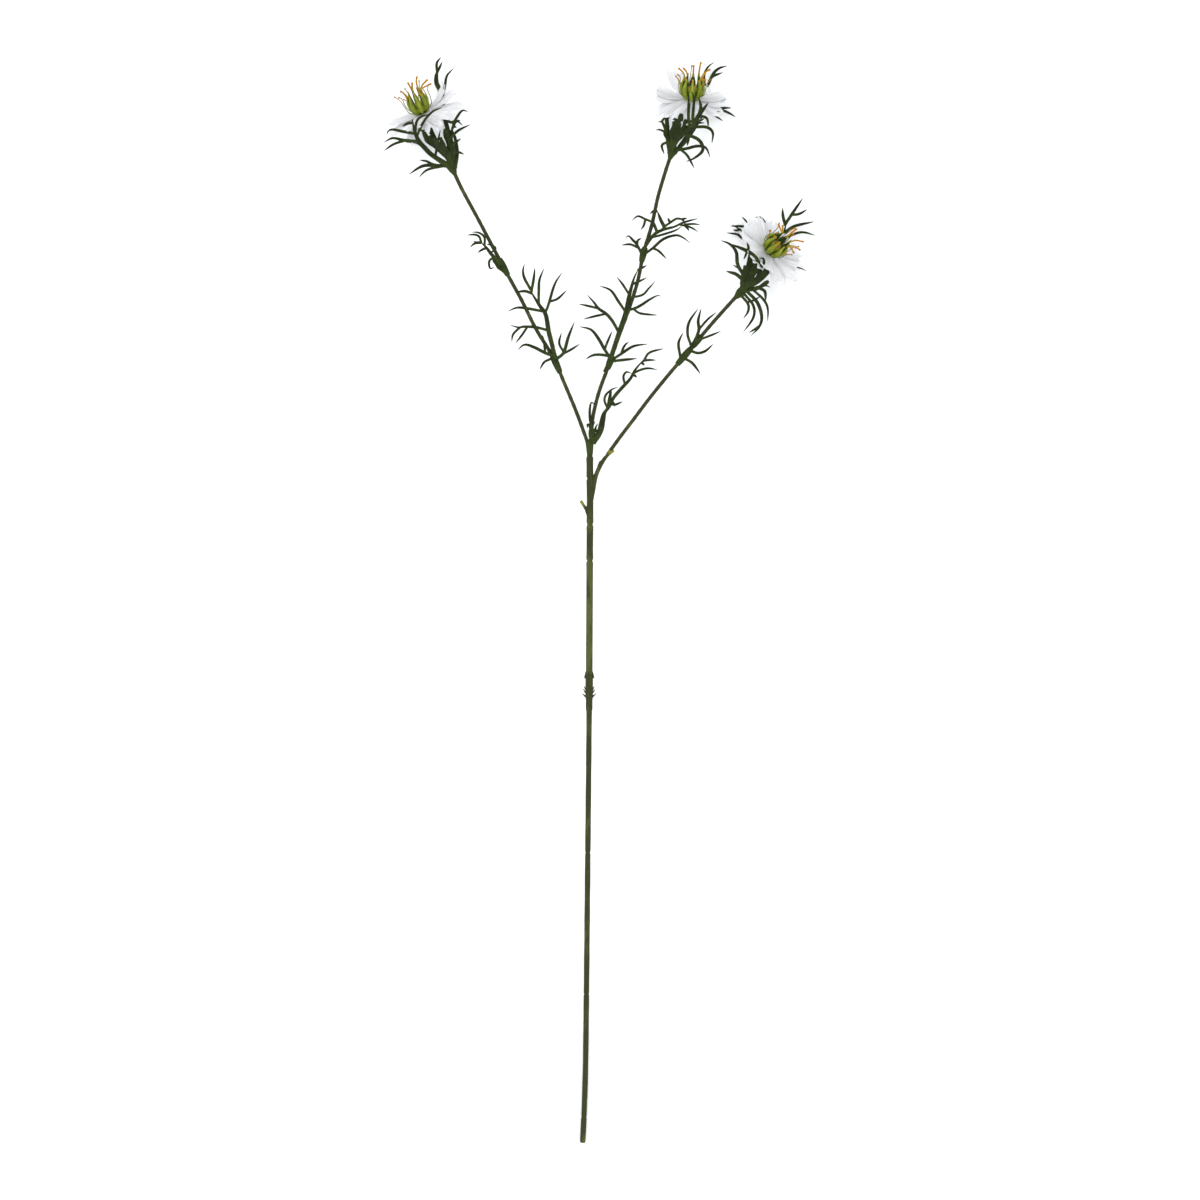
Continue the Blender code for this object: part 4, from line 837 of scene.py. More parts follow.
def stem_finish(settings, name="stem_plastic", olive_start=-0.05, olive_end=0.04, tips=(), crown=1.0):
    """Green plastic with lighter olive patches, denser between two places along y, streaks, and yellowed tips.

    Past the crown, a place along y, it takes the colour of the ribs.
    """
    shader = Shader(name, specular=0.12)
    place = shader.place()
    along = shader.axis(place, "Y")
    patch = shader.noise(shader.place((1, 0.3, 1)), 190.0, detail=4.0, roughness=0.6)
    streak = shader.noise(shader.place((1, 0.06, 1)), 1500.0, detail=3.0)
    grain = shader.noise(place, 1300.0, detail=2.0)
    zone = shader.step(along, olive_start - 0.02, olive_start) * (1.0 - shader.step(along, olive_end, olive_end + 0.03))
    olive = shader.step(patch + zone * 0.16 + streak * 0.16, 0.58, 0.86)
    colour = shader.mix(olive, settings.stem_colour, settings.olive_colour)
    colour = shader.mix(shader.step(grain, 0.5, 0.8) * 0.4, colour, shade(settings.stem_colour, 0.5))
    colour = shader.mix(shader.step(along, crown, crown + 0.004) * 0.8, colour, settings.rib_colour)
    for tip in tips:
        away = shader.node("ShaderNodeVectorMath", {"operation": "DISTANCE"}, {0: place, 1: tip}, 1)
        colour = shader.mix(1.0 - shader.step(away, 0.002, 0.006), colour, settings.tip_colour)
    return shader.finish(colour, 0.45 + grain * 0.15, streak * 0.7 + grain * 0.3, 0.00015)


def petal_finish(settings):
    """White stiffened satin: a fine weave, pressed veins that fan out with painted shade along them, random cloudy
    tone, and a greenish heart.
    """
    shader = Shader("petal_cloth", specular=0.2, sheen=0.15)
    shader.surface.inputs["Subsurface Weight"].default_value = 0.5
    shader.surface.inputs["Subsurface Radius"].default_value = (1.0, 1.0, 1.0)
    shader.surface.inputs["Subsurface Scale"].default_value = 0.003
    across, along = shader.unwrapped("X"), shader.unwrapped("Y")
    place = shader.place((9000, 9000, 9000))
    warp = shader.maths("SINE", shader.axis(place, "X") + shader.axis(place, "Z"))
    weft = shader.maths("SINE", shader.axis(place, "Y"))
    cloud = shader.noise(shader.place(), 260.0, detail=3.0)
    vein = shader.maths("ABSOLUTE", shader.maths("SINE", across * 16.0 + cloud * 3.0))
    vein = shader.step(vein, 0.0, 0.5)
    heart = 1.0 - shader.step(along, 0.02, 0.22)
    # Painted shade in the pressed vein creases, mixed with random cloudy tone
    vein_shade_and_tone = shade(settings.petal_colour, 0.86)
    colour = shader.mix(vein * 0.5 + shader.step(cloud, 0.3, 0.7) * 0.5, vein_shade_and_tone, settings.petal_colour)
    colour = shader.mix(heart * 0.45, colour, HEART_COLOUR)
    relief = vein * 0.75 + warp * weft * 0.12 + cloud * 0.2
    return shader.finish(colour, 0.62 + cloud * 0.15, relief, 0.0003)


def pod_finish(settings):
    """Ribbed green carpels, darkened with painted shade where they meet and inside, with a painted highlight along each
    ridge, and yellow to orange at their beaks.
    """
    shader = Shader("pod_plastic", specular=0.2)
    along, around = shader.unwrapped("X"), shader.unwrapped("Y")
    patch = shader.noise(shader.place(), 420.0, detail=3.0, roughness=0.6)
    streak = shader.noise(shader.place((1, 0.25, 1)), 2200.0, detail=2.0)
    outer = shader.maths("ABSOLUTE", around - 0.25)
    # Painted shade: each carpel's sides and inner face, away from its ridge, are darkened
    side = shader.step(outer, 0.1, 0.3)
    colour = shader.mix(shader.step(patch, 0.3, 0.7), shade(settings.pod_colour, 1.15), shade(settings.pod_colour, 0.6))
    colour = shader.mix(side * 0.95, colour, CARPEL_SHADE_COLOUR)
    # Painted highlight: a lighter line along each carpel's ridge
    colour = shader.mix((1.0 - shader.step(outer, 0.0, 0.05)) * 0.6, colour, RIDGE_HIGHLIGHT_COLOUR)
    colour = shader.mix(shader.step(along + patch * 0.16, 0.92, 1.1) * 0.8, colour, BEAK_COLOUR)
    return shader.finish(colour, 0.4 + streak * 0.2, streak * 0.5 + patch * 0.5, 0.0002)


def style_finish(settings, name, root_colour, turn):
    """Flocked threads: one colour at the root, orange from turn on, and a grey-brown knob."""
    shader = Shader(name, specular=0.05)
    along = shader.unwrapped("X")
    flock = shader.noise(shader.place(), 3200.0, detail=2.0)
    patch = shader.noise(shader.place(), 350.0, detail=2.0)
    colour = shader.mix(shader.step(along + patch * 0.3, turn, turn + 0.35), root_colour, settings.style_colour)
    colour = shader.mix(shader.step(flock, 0.4, 0.7) * 0.5, colour, shade(settings.style_colour, 0.45))
    colour = shader.mix(shader.step(along, 0.95, 0.985) * 0.75, colour, KNOB_COLOUR)
    return shader.finish(colour, 0.7 + flock * 0.2, flock, 0.00025)


def wire_finish(settings):
    """Galvanised wire with a dull, drawn surface."""
    shader = Shader("wire_steel", metallic=1.0)
    drawn = shader.noise(shader.place((1, 0.03, 1)), 2600.0, detail=3.0)
    spangle = shader.noise(shader.place(), 900.0, detail=2.0)
    colour = shader.mix(shader.step(spangle, 0.35, 0.7), settings.wire_colour, shade(settings.wire_colour, 0.6))
    return shader.finish(colour, 0.32 + spangle * 0.25, drawn, 0.00008)


# Leaves and bracts

def with_heights(points, root, lift):
    """A strand's points with the heights that weren't given spread between those that were."""
    plan = [Vector(p[:2]) for p in points]
    run = [0.0]
    for a, b in zip(plan, plan[1:]):
        run.append(run[-1] + (b - a).length)
    known = [(0.0, root.z)] + [(d, p[2]) for d, p in zip(run[1:], points[1:]) if len(p) == 3]
    if known[-1][0] < run[-1]:
        known.append((run[-1], known[-1][1] + lift))
    found = [root.copy()]
    for distance, place in zip(run[1:], plan[1:]):
        for (d0, z0), (d1, z1) in zip(known, known[1:]):
            if d0 <= distance <= d1 + 1e-6:
                found.append(Vector((*place, z0 + (z1 - z0) * (distance - d0) / (d1 - d0))))
                break
    return found


def moved_clear(path, line, clear, under):
    """The path, raised (or lowered, if it runs under) where it would pass nearer to the line than clear."""
    side = -1 if under else 1
    found = [path[0]]
    for point in path[1:]:
        place, beside = nearest(line, point)
        if beside < clear:
            least = place.z + side * math.sqrt(clear**2 - beside**2)
            point = Vector((point.x, point.y, side * max(side * point.z, side * least)))
        found.append(point)
    return found


def eased(path, passes):
    """The path with its heights averaged, so that it rises and falls in easy curves."""
    for _ in range(passes):
        heights = [(a.z + 2 * b.z + c.z) / 4 for a, b, c in zip(path, path[1:], path[2:])]
        path = [path[0], *(Vector((p.x, p.y, z)) for p, z in zip(path[1:], heights)), path[-1]]
    return path


def needle_radii(path, half_width):
    """A needle's half widths: flared at its root, fuller at its middle and drawn out to a fine tip."""
    lengths = lengths_along(path)
    found = []
    for length in lengths:
        share = length / lengths[-1]
        belly = 0.92 + 0.26 * math.sin(math.pi * share**0.8)
        flare = 0.4 * math.exp(-length / 1.3)
        point = 1 - 0.82 * share**5
        found.append(NEEDLE_SWELL * half_width * (belly + flare) * point)
    return found


def blade_radii(path, half_width):
    """A broad lobe's half widths: a narrow foot, wide shoulders, a ragged edge and a blunt, cornered end."""
    found = []
    for i in range(len(path)):
        share = i / (len(path) - 1)
        foot = min(1.0, 0.32 + 1.3 * share)
        tooth = abs((share * 2.6 + half_width * 3) % 1 - 0.5) * 2
        end = 1 - 0.3 * max(0.0, share - 0.94) / 0.06
        found.append(BLADE_FILL * half_width * foot * (0.82 + 0.36 * tooth) * end)
    return found


def strand_lines(listed, collar, seat, line, clear, made=()):
    """The lines and radii of strands, each from the nearest strand already made, or else from the collar.

    They stay clear of the line, which is the branch or the flower's stalk. made holds the paths to spring from.
    """
    made = list(made)
    lines = []
    for half_width, lift, points in listed:
        start = Vector((*points[0][:2], HEAD_HEIGHT))
        under = any(len(point) == 3 for point in points)
        near = [(*nearest(path, start), reach) for path, below, reach in made if below or not under]
        root, gap, reach = min(near, key=lambda found: found[1] - found[2], default=(None, math.inf, 0))
        if gap > reach:
            axis_point, _ = nearest(collar, start)
            away = Vector((start.x - axis_point.x, start.y - axis_point.y, seat * (-0.9 if under else 0.8)))
            root = axis_point + away.normalized() * seat
        path = spaced(smooth(with_heights(points, root, lift), CURVE_STEPS), POINT_GAP)
        path = eased(moved_clear(path, line, clear, under), EASING)
        broad = half_width > BROAD
        made.append((path, under, half_width if broad else NEEDLE_REACH))
        radii = blade_radii if broad else needle_radii
        lines.append((path, radii(path, half_width)))
    return lines, made


def sheath_line(line, start_y, end_y, bulges):
    """A swelling round a stem, or two in a row, that leaves grow from."""
    path = between(line, start_y - 1.5, end_y + 1.0, FINE_GAP)
    lengths = lengths_along(path)
    radii = []
    for length in lengths:
        share = length / lengths[-1]
        swell = abs(math.sin(math.pi * (0.04 + 0.92 * share**1.3) * bulges)) ** 0.45
        radii.append(BRANCH_RADIUS + SLEEVE_GAP + (SHEATH_RADIUS - BRANCH_RADIUS - SLEEVE_GAP) * swell)
    return path, radii


# Flowers

def flower_axes(head):
    """A flower's centre, the way it faces, and two directions across it."""
    facing, tilt = math.radians(head["facing"]), math.radians(head["tilt"])
    out = Vector((math.sin(facing) * math.cos(tilt), math.cos(facing) * math.cos(tilt), math.sin(tilt)))
    side = out.cross(UP).normalized()
    return Vector((*head["centre"], HEAD_HEIGHT + FLOWER_LIFT)), out, side, side.cross(out)


def around(head, along, radius, turn):
    """A place in a flower: along its axis from the calyx, out from it, and round it in degrees."""
    centre, out, side, up = flower_axes(head)
    turn = math.radians(turn)
    return centre + out * along + (side * math.cos(turn) + up * math.sin(turn)) * radius


def turned_into(made, head, turn):
    """Turns a piece modelled along +Y, with its outer side up, into its place in a flower of its girth."""
    centre, out, side, up = flower_axes(head)
    outward = side * math.cos(math.radians(turn)) + up * math.sin(math.radians(turn))
    across = out.cross(outward)
    girth = head["girth"]
    axes = Matrix((across * girth, out, outward * girth)).transposed()
    made.matrix_world = Matrix.Translation(MM * centre) @ axes.to_4x4()
    select(made)
    bpy.ops.object.transform_apply(location=True, rotation=True, scale=True)
    return made


def branch_end(head):
    """The end of the branch that carries a flower, and its direction there."""
    line = raised(head["line"], head["line"])
    return line[-1], (line[-1] - line[-2]).normalized()


def stalk_path(head):
    """The flower's own stalk, from just past the branch's end to the flower's centre."""
    end, way = branch_end(head)
    centre, out, _, _ = flower_axes(head)
    root = end + way * FIT
    reach = (centre - root).length
    route = [root, root + way * 6, centre - out * reach * 0.35, centre - out * 5, centre]
    return spaced(smooth(route, 6), POINT_GAP)


def axis_line(head, profile):
    """A shape turned about a flower's axis, as a line of (distance along it, radius)."""
    centre, out, _, _ = flower_axes(head)
    return [centre + out * along for along, _ in profile], [radius for _, radius in profile]


def petal_place(share, column, lean, length, half_width, ripple, seed, peak):
    """One place of a petal: how far out, how far aside and how far up it is. A peak makes it a single point."""
    teeth = 2 + round(seed) % 2
    tooth = abs((teeth * (column * 0.5 + 0.5) + 0.37 * seed) % 1 - 0.5) * 2
    fringe = 1 - 0.19 * (1 - tooth) ** 1.2 - 0.08 * column**4 - 0.05 * math.sin(5.3 * seed + 3 * column)
    if peak:
        fringe = 1 - 0.09 * abs(column - peak[0])
    reach = length * (0.09 + 0.91 * share * (1 - (1 - fringe) * share**5))
    widen = 0.34 + 0.74 * math.sin(0.5 * math.pi * min(1.0, share / 0.78))
    aside = half_width * widen * column * (1 - 0.1 * max(0.0, share - 0.75) / 0.25)
    bend = math.radians(lean) * (reach / length) ** 1.6
    wave = ripple * share * (math.sin(6.5 * column + 1.7 * seed) + 0.7 * math.sin(7 * share * column + seed))
    cup = 0.8 * share * (column**2 - 0.3) * math.cos(seed)
    crease = -0.22 * bump(column, 0.0, 0.12) * math.sin(math.pi * min(1.0, share * 1.1))
    lift = reach * math.sin(bend) + wave + cup + crease
    return reach * math.cos(bend), aside, lift


def petal(head, level, shape, seed, settings):
    turn, lean, length, half_width, *peak = shape
    ripple = settings.petal_ripple / MM
    centre, out, side, up = flower_axes(head)
    outward = side * math.cos(math.radians(turn)) + up * math.sin(math.radians(turn))
    across = out.cross(outward)
    rows = []
    for i in range(PETAL_ROWS):
        row = []
        for j in range(PETAL_COLUMNS):
            share, column = i / (PETAL_ROWS - 1), -1 + 2 * j / (PETAL_COLUMNS - 1)
            reach, aside, lift = petal_place(share, column, lean, length, half_width, ripple, seed, peak)
            row.append(centre + out * (level + lift) + outward * reach + across * aside)
        rows.append(row)
    return cloth(rows, settings.petal_thickness)


# Operators

class Builder:
    """What the operators share: they work on the spray's settings and fail loudly."""

    bl_options = {"REGISTER", "UNDO"}

    def execute(self, context):
        self.build(context.scene.nigella_spray)
        return {"FINISHED"}


class NIGELLA_OT_stem(Builder, bpy.types.Operator):
    """Builds the lower stem, the noded upper stem with its crown, and the barbed collar"""

    bl_idname = "nigella.stem"
    bl_label = "Stem"

    def build(self, settings):
        whole = smooth(raised(MAIN_LINE, MAIN_LINE), 12)
        round_section = section()
        self.lower(whole, round_section, settings)
        self.upper(whole, round_section, settings)
        self.collar(whole, round_section, settings)
        remove(round_section)

    def lower(self, whole, outline, settings):
        """A tube with rounded ends and shallow mould joints. The wire shows in its cut end."""
        path = between(whole, TAIL_Y, JOIN_Y + 1.0, 0.7)
        radii = []
        for point in path:
            joint = sum(bump(point.y, groove, 0.7) for groove in GROOVES)
            end = 0.3 * math.exp(-(point.y - TAIL_Y) / 0.6)
            radii.append(STEM_FULLNESS * LOWER_STEM_RADIUS - 0.28 * joint - end + 0.04 * math.sin(0.23 * point.y))
        made = swept([(path, radii)], outline)
        bore(made, path, wall=0.55, depth=3.4)
        finish = stem_finish(settings, "lower_stem_plastic", *NO_OLIVE_ZONE)
        made = joined("lower_stem_tube", [made], finish)
        stands_for(made, "lower_stem")

    def upper(self, whole, outline, settings):
        """The moulded sleeve, its arms and its cut side shoots, fused into one skin."""
        path = between(whole, JOIN_Y, FORK_Y + 1, 0.6)
        radii = []
        for point in path:
            pinch = sum(bump(point.y, node, 0.75) for node in NODES)
            swell = sum(bump(point.y, node, 4.0) for node in NODES)
            foot = 0.5 * math.exp(-(point.y - JOIN_Y) / 0.7)
            radii.append(STEM_FULLNESS * UPPER_STEM_RADIUS - 0.66 * pinch + 0.15 * swell - foot)
        lines = [(path, radii)]
        for side, plan in CROWN_ARMS.items():
            arm = spaced(smooth(raised(plan, HEADS[side]["line"]), 6), 0.6)
            last = len(arm) - 1
            lines.append((arm, [BRANCH_RADIUS + 0.5 * (1 - i / last) ** 0.7 - 0.4 * bump(p.y, NODES[-1], 0.9)
                                for i, p in enumerate(arm)]))
        web = raised(CROWN_WEB, CENTRE_LINE)
        lines.append((web, [1.5, 1.6, 1.5, 0.7]))
        for plan, ends in STUBS.values():
            points = raised(plan, RIGHT_LINE)
            steps = len(points) - 1
            shoot = smooth(points, 6)
            lines.append((shoot, [blended(ends, steps * i / (len(shoot) - 1)) for i in range(len(shoot))]))
        made = fused(swept(lines, outline), SKIN_VOXEL)
        tips = [MM * raised(plan[-1:], RIGHT_LINE)[0] for side, (plan, _) in STUBS.items() if side != "scale"]
        made = joined("upper_stem_sleeve", [made], stem_finish(settings, tips=tips, crown=MM * NODES[-1]))
        stands_for(made, "upper_stem")

    def collar(self, whole, outline, settings):
        """A ring of short barbs round the sleeve: four skirts above three tiers of upturned points."""
        path = between(whole, COLLAR_START, COLLAR_END, FINE_GAP)
        radii = []
        for point in path:
            ends = bump(point.y, COLLAR_START, 1.2) + bump(point.y, COLLAR_END, 1.2)
            radii.append(STEM_FULLNESS * UPPER_STEM_RADIUS + 0.22 - 0.2 * ends)
        parts = [swept([(path, radii)], outline)]
        points = section(0.8, 8)
        lines = []
        for k in range(4):
            turn = math.tau * (k + 0.07) / 4
            away = Vector((math.cos(turn), 0, math.sin(turn)))
            for start_y, end_y, reach, width, taper in BARBS:
                root = at_y(whole, start_y) + away * 1.7
                tip = at_y(whole, end_y) + away * reach
                middle = root.lerp(tip, 0.55) + away * 0.1
                barb = smooth([root, middle, tip], 5)
                last = len(barb) - 1
                lines.append((barb, [width * (1 - taper * (i / last) ** 1.3) for i in range(last + 1)]))
        parts.append(swept(lines, points))
        made = joined("barbed_collar", parts, stem_finish(settings, "collar_plastic", -0.3, -0.29))
        stands_for(made, "barb_collar")
        remove(points)


class NIGELLA_OT_branches(Builder, bpy.types.Operator):
    """Builds the three flower branches, and finishes the wire cores of the whole spray"""

    bl_idname = "nigella.branches"
    bl_label = "Branches and wires"

    def build(self, settings):
        outline = section(1.0, 12)
        finish = stem_finish(settings, "branch_plastic", *NO_OLIVE_ZONE)
        for side, head in HEADS.items():
            line = smooth(raised(head["line"], head["line"]), CURVE_STEPS)
            path = spaced([line[0] + (line[0] - line[1]).normalized() * 1.5, *line], POINT_GAP)
            radii = [BRANCH_FULLNESS * BRANCH_RADIUS + 0.06 * math.sin(0.9 * i) * math.sin(0.13 * i)
                     for i in range(len(path))]
            made = joined(f"{side}_branch_tube", [swept([(path, radii)], outline)], finish)
            stands_for(made, f"{side}_branch")
        remove(outline)
        steel = wire_finish(settings)
        for name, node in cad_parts.items():
            if name.endswith("_wire"):
                node.data.materials.clear()
                node.data.materials.append(steel)


class NIGELLA_OT_leaves(Builder, bpy.types.Operator):
    """Builds the six ferny leaves on the branches, each with its sheath"""

    bl_idname = "nigella.leaves"
    bl_label = "Leaves"

    def build(self, settings):
        needle, ring = section(settings.needle_flatness, 8), section(1.0, 14)
        finish, green = leaf_finish(settings), leaf_finish(settings, "sheath_plastic", rib=0.15)
        for name, (line, start_y, end_y, bulges, listed) in LEAVES.items():
            path = smooth(raised(line, line), CURVE_STEPS)
            collar = [at_y(path, start_y), at_y(path, end_y)]
            seat = (BRANCH_RADIUS + FIT + COLLAR_RADIUS) / 2
            lines, _ = strand_lines(listed, collar, seat, path, COLLAR_RADIUS + 0.4)
            sheath = swept([sheath_line(path, start_y, end_y, bulges)], ring)
            sheath.data.materials.append(green)
            made = joined(f"{name}_foliage", [sheath, swept(lines, needle)], finish)
            stands_for(made, f"{name}_leaf")
        remove(needle, ring)


class NIGELLA_OT_bracts(Builder, bpy.types.Operator):
    """Builds each flower's receptacle, its caging bracts, its stalk and its blunt calyx lobes"""

    bl_idname = "nigella.bracts"
    bl_label = "Bracts"

    def build(self, settings):
        outlines = {
            "needle": section(settings.needle_flatness, 8),
            "blade": section(0.2, 14, 0.12),
            "ring": section(1.0, 16),
        }
        finish, green = leaf_finish(settings), leaf_finish(settings, "receptacle_plastic", rib=0.2)
        for side, head in HEADS.items():
            self.bracts(side, head, outlines, finish, green)
            self.calyx(side, head, outlines, finish)
        remove(*outlines.values())

    def bracts(self, side, head, outlines, finish, green):
        end, way = branch_end(head)
        collar, stalk = [end, end + way * 3.0], stalk_path(head)
        cup = [end + way * along for along, _ in RECEPTACLE]
        parts = [swept([(cup, [radius for _, radius in RECEPTACLE])], outlines["ring"])]
        parts[0].data.materials.append(green)
        blades, made = strand_lines(head["blades"], collar, 2.4, stalk, 3.0)
        parts.append(swept(blades, outlines["blade"]))
        needles, _ = strand_lines(head["bracts"], collar, 2.6, stalk, 3.1, made)
        parts.append(swept(needles, outlines["needle"]))
        stands_for(joined(f"{side}_bract_cage", parts, finish), f"{side}_bracts")

    def calyx(self, side, head, outlines, finish):
        stalk = stalk_path(head)
        last = len(stalk) - 1
        radii = [BRANCH_RADIUS + 1.5 * max(0.0, i / last - 0.55) / 0.45 for i in range(last + 1)]
        parts = [swept([(stalk, radii), axis_line(head, CALYX_DISC)], outlines["ring"])]
        centre, out, _, _ = flower_axes(head)
        for k in range(CALYX_LOBES):
            turn = 360 * (k + 0.5) / CALYX_LOBES
            outward = around(head, 0, 1, turn) - centre
            across = out.cross(outward)
            rows = []
            for i in range(CALYX_ROWS):
                share = i / (CALYX_ROWS - 1)
                middle = around(head, -0.5 - 5.6 * share**1.7, 3.0 + 8.6 * share, turn)
                half = 1.8 + 1.5 * math.sin(math.pi * 0.75 * share)
                rows.append([middle + across * half * c / 3 + out * (0.05 * c * c) for c in range(-3, 4)])
            parts.append(cloth(rows, CALYX_THICKNESS * MM))
        stands_for(joined(f"{side}_calyx_cup", parts, finish), f"{side}_calyx")


class NIGELLA_OT_petals(Builder, bpy.types.Operator):
    """Builds the two die-cut discs of cloth petals in each flower"""

    bl_idname = "nigella.petals"
    bl_label = "Petals"

    def build(self, settings):
        ring = section(1.0, 24)
        finish = petal_finish(settings)
        for index, (side, head) in enumerate(HEADS.items()):
            for layer, level in PETAL_LEVELS.items():
                washer = [(level - 0.3, WASHER_BORE), (level - 0.25, WASHER_RADIUS),
                          (level + 0.25, WASHER_RADIUS), (level + 0.3, WASHER_BORE)]
                parts = [swept([axis_line(head, washer)], ring)]
                area = math.pi * WASHER_RADIUS**2
                for k, shape in enumerate(head[layer]):
                    seed = 1 + k + 2.7 * index + (0.5 if layer == "upper" else 0)
                    parts.append(petal(head, level, shape, seed, settings))
                    area += 2 * shape[2] * shape[3] * PETAL_FILL
                made = joined(f"{side}_{layer}_petal_disc", parts, finish)
                stands_for(made, f"{side}_{layer}_petals")
                area * MM * MM
        remove(ring)


class NIGELLA_OT_stamens(Builder, bpy.types.Operator):
    """Builds the ring of thin bowed stamens in each flower"""

    bl_idname = "nigella.stamens"
    bl_label = "Stamens"

    def build(self, settings):
        thread, ring = section(1.0, 6), section(1.0, 16)
        green = leaf_finish(settings, "washer_plastic", rib=0.5)
        finish = style_finish(settings, "anther_flock", FILAMENT_ROOT_COLOUR, turn=0.72)
        for index, (side, head) in enumerate(HEADS.items()):
            lines = []
            for k in range(settings.filaments):
                turn = 360 * (k + 0.25) / settings.filaments
                sway = math.sin(2.1 * k + index)
                shape = ((3.9, 5.2), (6.5, 8.2), (11, 9.2), (16, 9.6 + 0.6 * sway), (19.5 + 1.5 * sway, 12.0 + sway))
                path = smooth([around(head, a, r, turn + 4 * sway * i) for i, (a, r) in enumerate(shape)], 6)
                lines.append((path, knobbed(path, 0.3, 0.6)))
            washer = swept([axis_line(head, STAMEN_WASHER)], ring)
            washer.data.materials.append(green)
            made = joined(f"{side}_stamen_ring", [swept(lines, thread, "MINIMUM"), washer], finish)
            stands_for(made, f"{side}_stamens")
        remove(thread, ring)


class NIGELLA_OT_pods(Builder, bpy.types.Operator):
    """Builds each flower's young seed pod: ribbed carpels round a hollow, drawn out into styles"""

    bl_idname = "nigella.pods"
    bl_label = "Seed pods"

    def build(self, settings):
        outlines = {"carpel": section(0.8, 16, 0.22), "thread": section(1.0, 6), "ring": section(1.0, 16)}
        green = pod_finish(settings)
        orange = style_finish(settings, "style_flock", STYLE_ROOT_COLOUR, turn=0.45)
        for side, head in HEADS.items():
            parts = []
            for k in range(settings.carpels):
                carpel = self.carpel(outlines["carpel"], k)
                parts.append(turned_into(carpel, head, 360 * k / settings.carpels))
            parts.append(swept([axis_line(head, POD_CUP)], outlines["ring"]))
            styles = self.styles(head, outlines["thread"], settings)
            styles.data.materials.append(orange)
            made = joined(f"{side}_seed_pod", [*parts, styles], green)
            stands_for(made, f"{side}_pod")
        remove(*outlines.values())

    def carpel(self, outline, k):
        """One carpel along +Y with its ridge up: fat below, with a beak that leans out."""
        lean = 0.5 * math.sin(2.3 * k)
        shape = ((2.6, 2.4), (4.2, 4.4), (8.0, 6.1), (12.0, 6.4 + lean), (15.6, 5.8 + lean), (19.0, 5.6 + 1.5 * lean))
        path = spaced(smooth([Vector((0, along, radius)) for along, radius in shape], 6), FINE_GAP)
        last = len(path) - 1
        steps = len(CARPEL_WIDTHS) - 1
        radii = [blended(CARPEL_WIDTHS, steps * i / last) for i in range(last + 1)]
        return swept([(path, radii)], outline)

    def styles(self, head, outline, settings):
        """A thread from each carpel's beak to the end that the head lists for it, with a knob."""
        lines = []
        for turn, along, radius in head["styles"]:
            root = min((360 * c / settings.carpels for c in range(settings.carpels)),
                       key=lambda angle: abs((angle - turn + 180) % 360 - 180))
            swing = (turn - root + 180) % 360 - 180
            points = [around(head, 15.5, 5.6, root), around(head, 17.5, 5.5, root + 0.2 * swing),
                      around(head, 17.5 + 0.62 * (along - 17.5), 5.6 + 0.3 * (radius - 5.6), root + 0.6 * swing),
                      around(head, along, radius, turn)]
            path = spaced(smooth(points, CURVE_STEPS), FINE_GAP)
            lines.append((path, knobbed(path, 0.58, 0.82)))
        return swept(lines, outline, "MINIMUM")


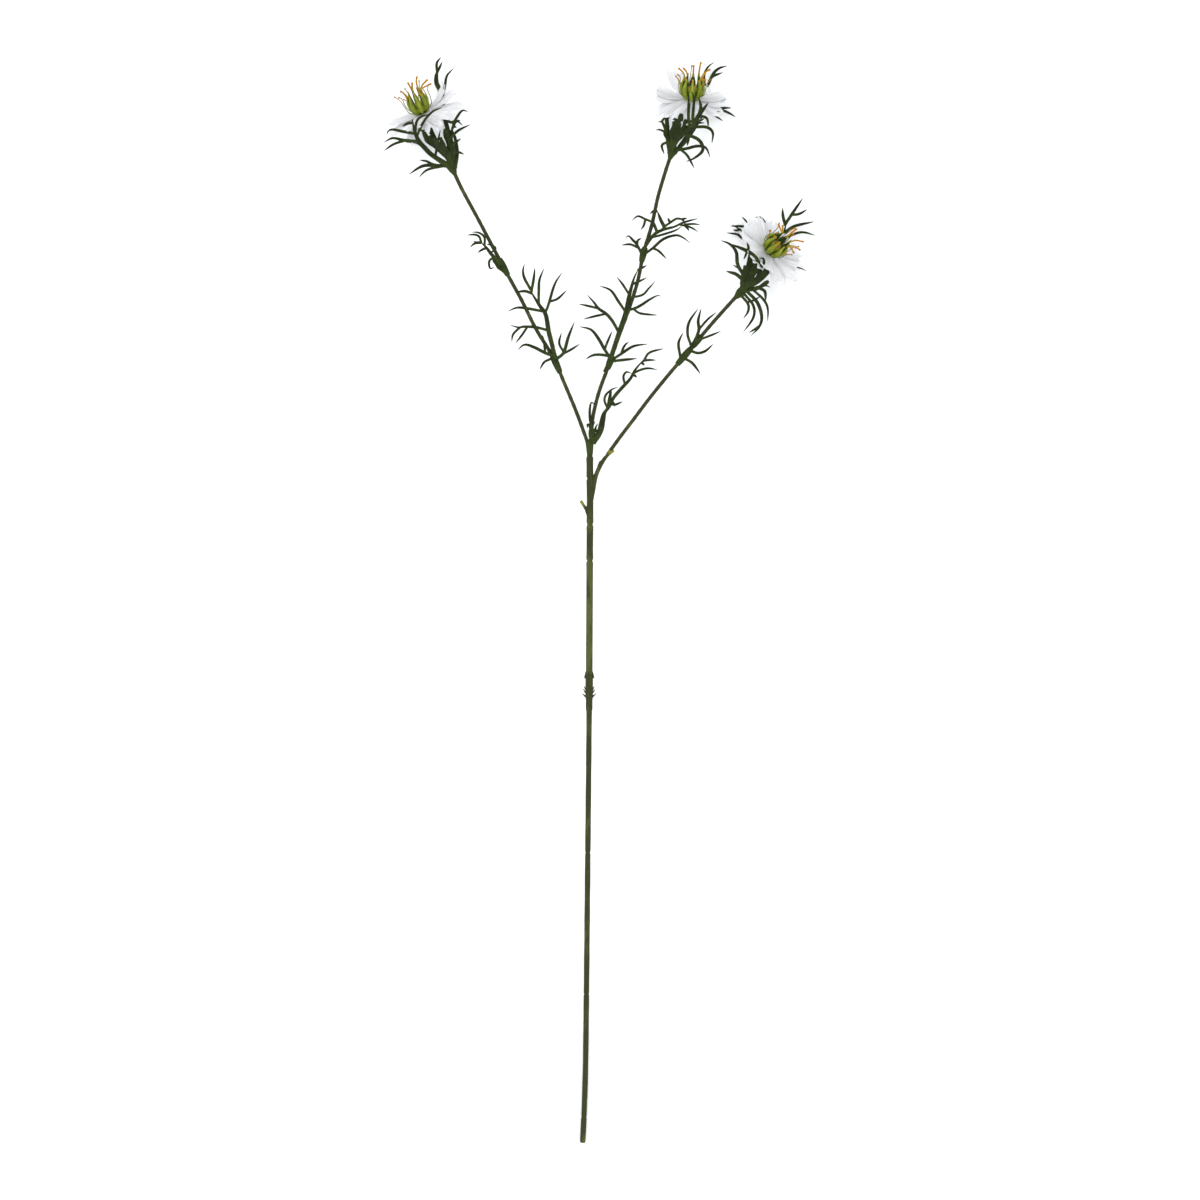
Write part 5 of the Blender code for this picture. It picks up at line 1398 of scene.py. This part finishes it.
class NIGELLA_OT_stage(bpy.types.Operator):
    """Builds the pale floor, the soft lights and the camera that looks straight down"""

    bl_idname = "nigella.stage"
    bl_label = "Studio"
    bl_options = {"REGISTER", "UNDO"}

    def execute(self, context):
        settings = context.scene.nigella_studio
        self.floor(settings)
        self.light(context.scene, settings)
        self.camera(context.scene, settings)
        return {"FINISHED"}

    def floor(self, settings):
        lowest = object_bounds()[0].z
        bpy.ops.mesh.primitive_plane_add(size=settings.floor_size, location=(0, 0, lowest - FLOOR_GAP))
        made = bpy.context.object
        made.name = "studio_floor"
        bpy.ops.object.transform_apply(location=True)
        shader = Shader("studio_paper", specular=0.1)
        paper = shader.noise(shader.place(), 40.0, detail=2.0)
        colour = shader.mix(paper * 0.3, settings.floor_colour, shade(settings.floor_colour, 0.985))
        made.data.materials.append(shader.finish(colour, 0.9, paper, 0.00002))
        made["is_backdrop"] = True

    def light(self, scene, settings):
        scene.view_settings.view_transform = "Standard"
        world = bpy.data.worlds.new("studio_sky")
        world.use_nodes = True
        sky = world.node_tree.nodes["Background"]
        sky.inputs["Color"].default_value = SKY_COLOUR
        sky.inputs["Strength"].default_value = settings.sky_strength
        scene.world = world
        for place, size, share in LAMPS:
            bpy.ops.object.light_add(type="AREA", location=place)
            lamp = bpy.context.object
            lamp.data.shape = "DISK"
            lamp.data.size = size
            lamp.data.energy = settings.lamp_power * share
            lamp.rotation_euler = (-Vector(place)).to_track_quat("-Z", "Y").to_euler()

    def camera(self, scene, settings):
        low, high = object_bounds()
        middle = (low.z + high.z) * FOCUS_SHARE
        distance = settings.view_width * settings.lens / SENSOR
        bpy.ops.object.camera_add(location=(0, 0, middle + distance), rotation=(0, 0, 0))
        camera = bpy.context.object
        camera.data.lens = settings.lens
        camera.data.sensor_width = SENSOR
        camera.data.clip_end = FAR_CLIP
        scene.camera = camera


class NIGELLA_PT_panel(bpy.types.Panel):
    """Lists the settings and the steps in the order they are run"""

    bl_label = "Nigella Spray"
    bl_idname = "NIGELLA_PT_panel"
    bl_space_type = "VIEW_3D"
    bl_region_type = "UI"
    bl_category = "Nigella"

    def draw(self, context):
        for group in (context.scene.nigella_spray, context.scene.nigella_studio):
            column = self.layout.column(align=True)
            for name in group.__annotations__:
                column.prop(group, name)
        column = self.layout.column(align=True)
        for step in STEPS:
            column.operator(step.bl_idname)


STEPS = (
    NIGELLA_OT_stem,
    NIGELLA_OT_branches,
    NIGELLA_OT_leaves,
    NIGELLA_OT_bracts,
    NIGELLA_OT_petals,
    NIGELLA_OT_stamens,
    NIGELLA_OT_pods,
    NIGELLA_OT_stage,
)
CLASSES = (SpraySettings, StudioSettings, *STEPS, NIGELLA_PT_panel)


def register():
    for made in CLASSES:
        bpy.utils.register_class(made)
    bpy.types.Scene.nigella_spray = bpy.props.PointerProperty(type=SpraySettings)
    bpy.types.Scene.nigella_studio = bpy.props.PointerProperty(type=StudioSettings)


def unregister():
    del bpy.types.Scene.nigella_studio
    del bpy.types.Scene.nigella_spray
    for made in reversed(CLASSES):
        bpy.utils.unregister_class(made)


def main():
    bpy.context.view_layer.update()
    register()
    bpy.ops.nigella.stem()
    bpy.ops.nigella.branches()
    bpy.ops.nigella.leaves()
    bpy.ops.nigella.bracts()
    bpy.ops.nigella.petals()
    bpy.ops.nigella.stamens()
    bpy.ops.nigella.pods()
    bpy.ops.nigella.stage()


if __name__ == "__main__":
    main()
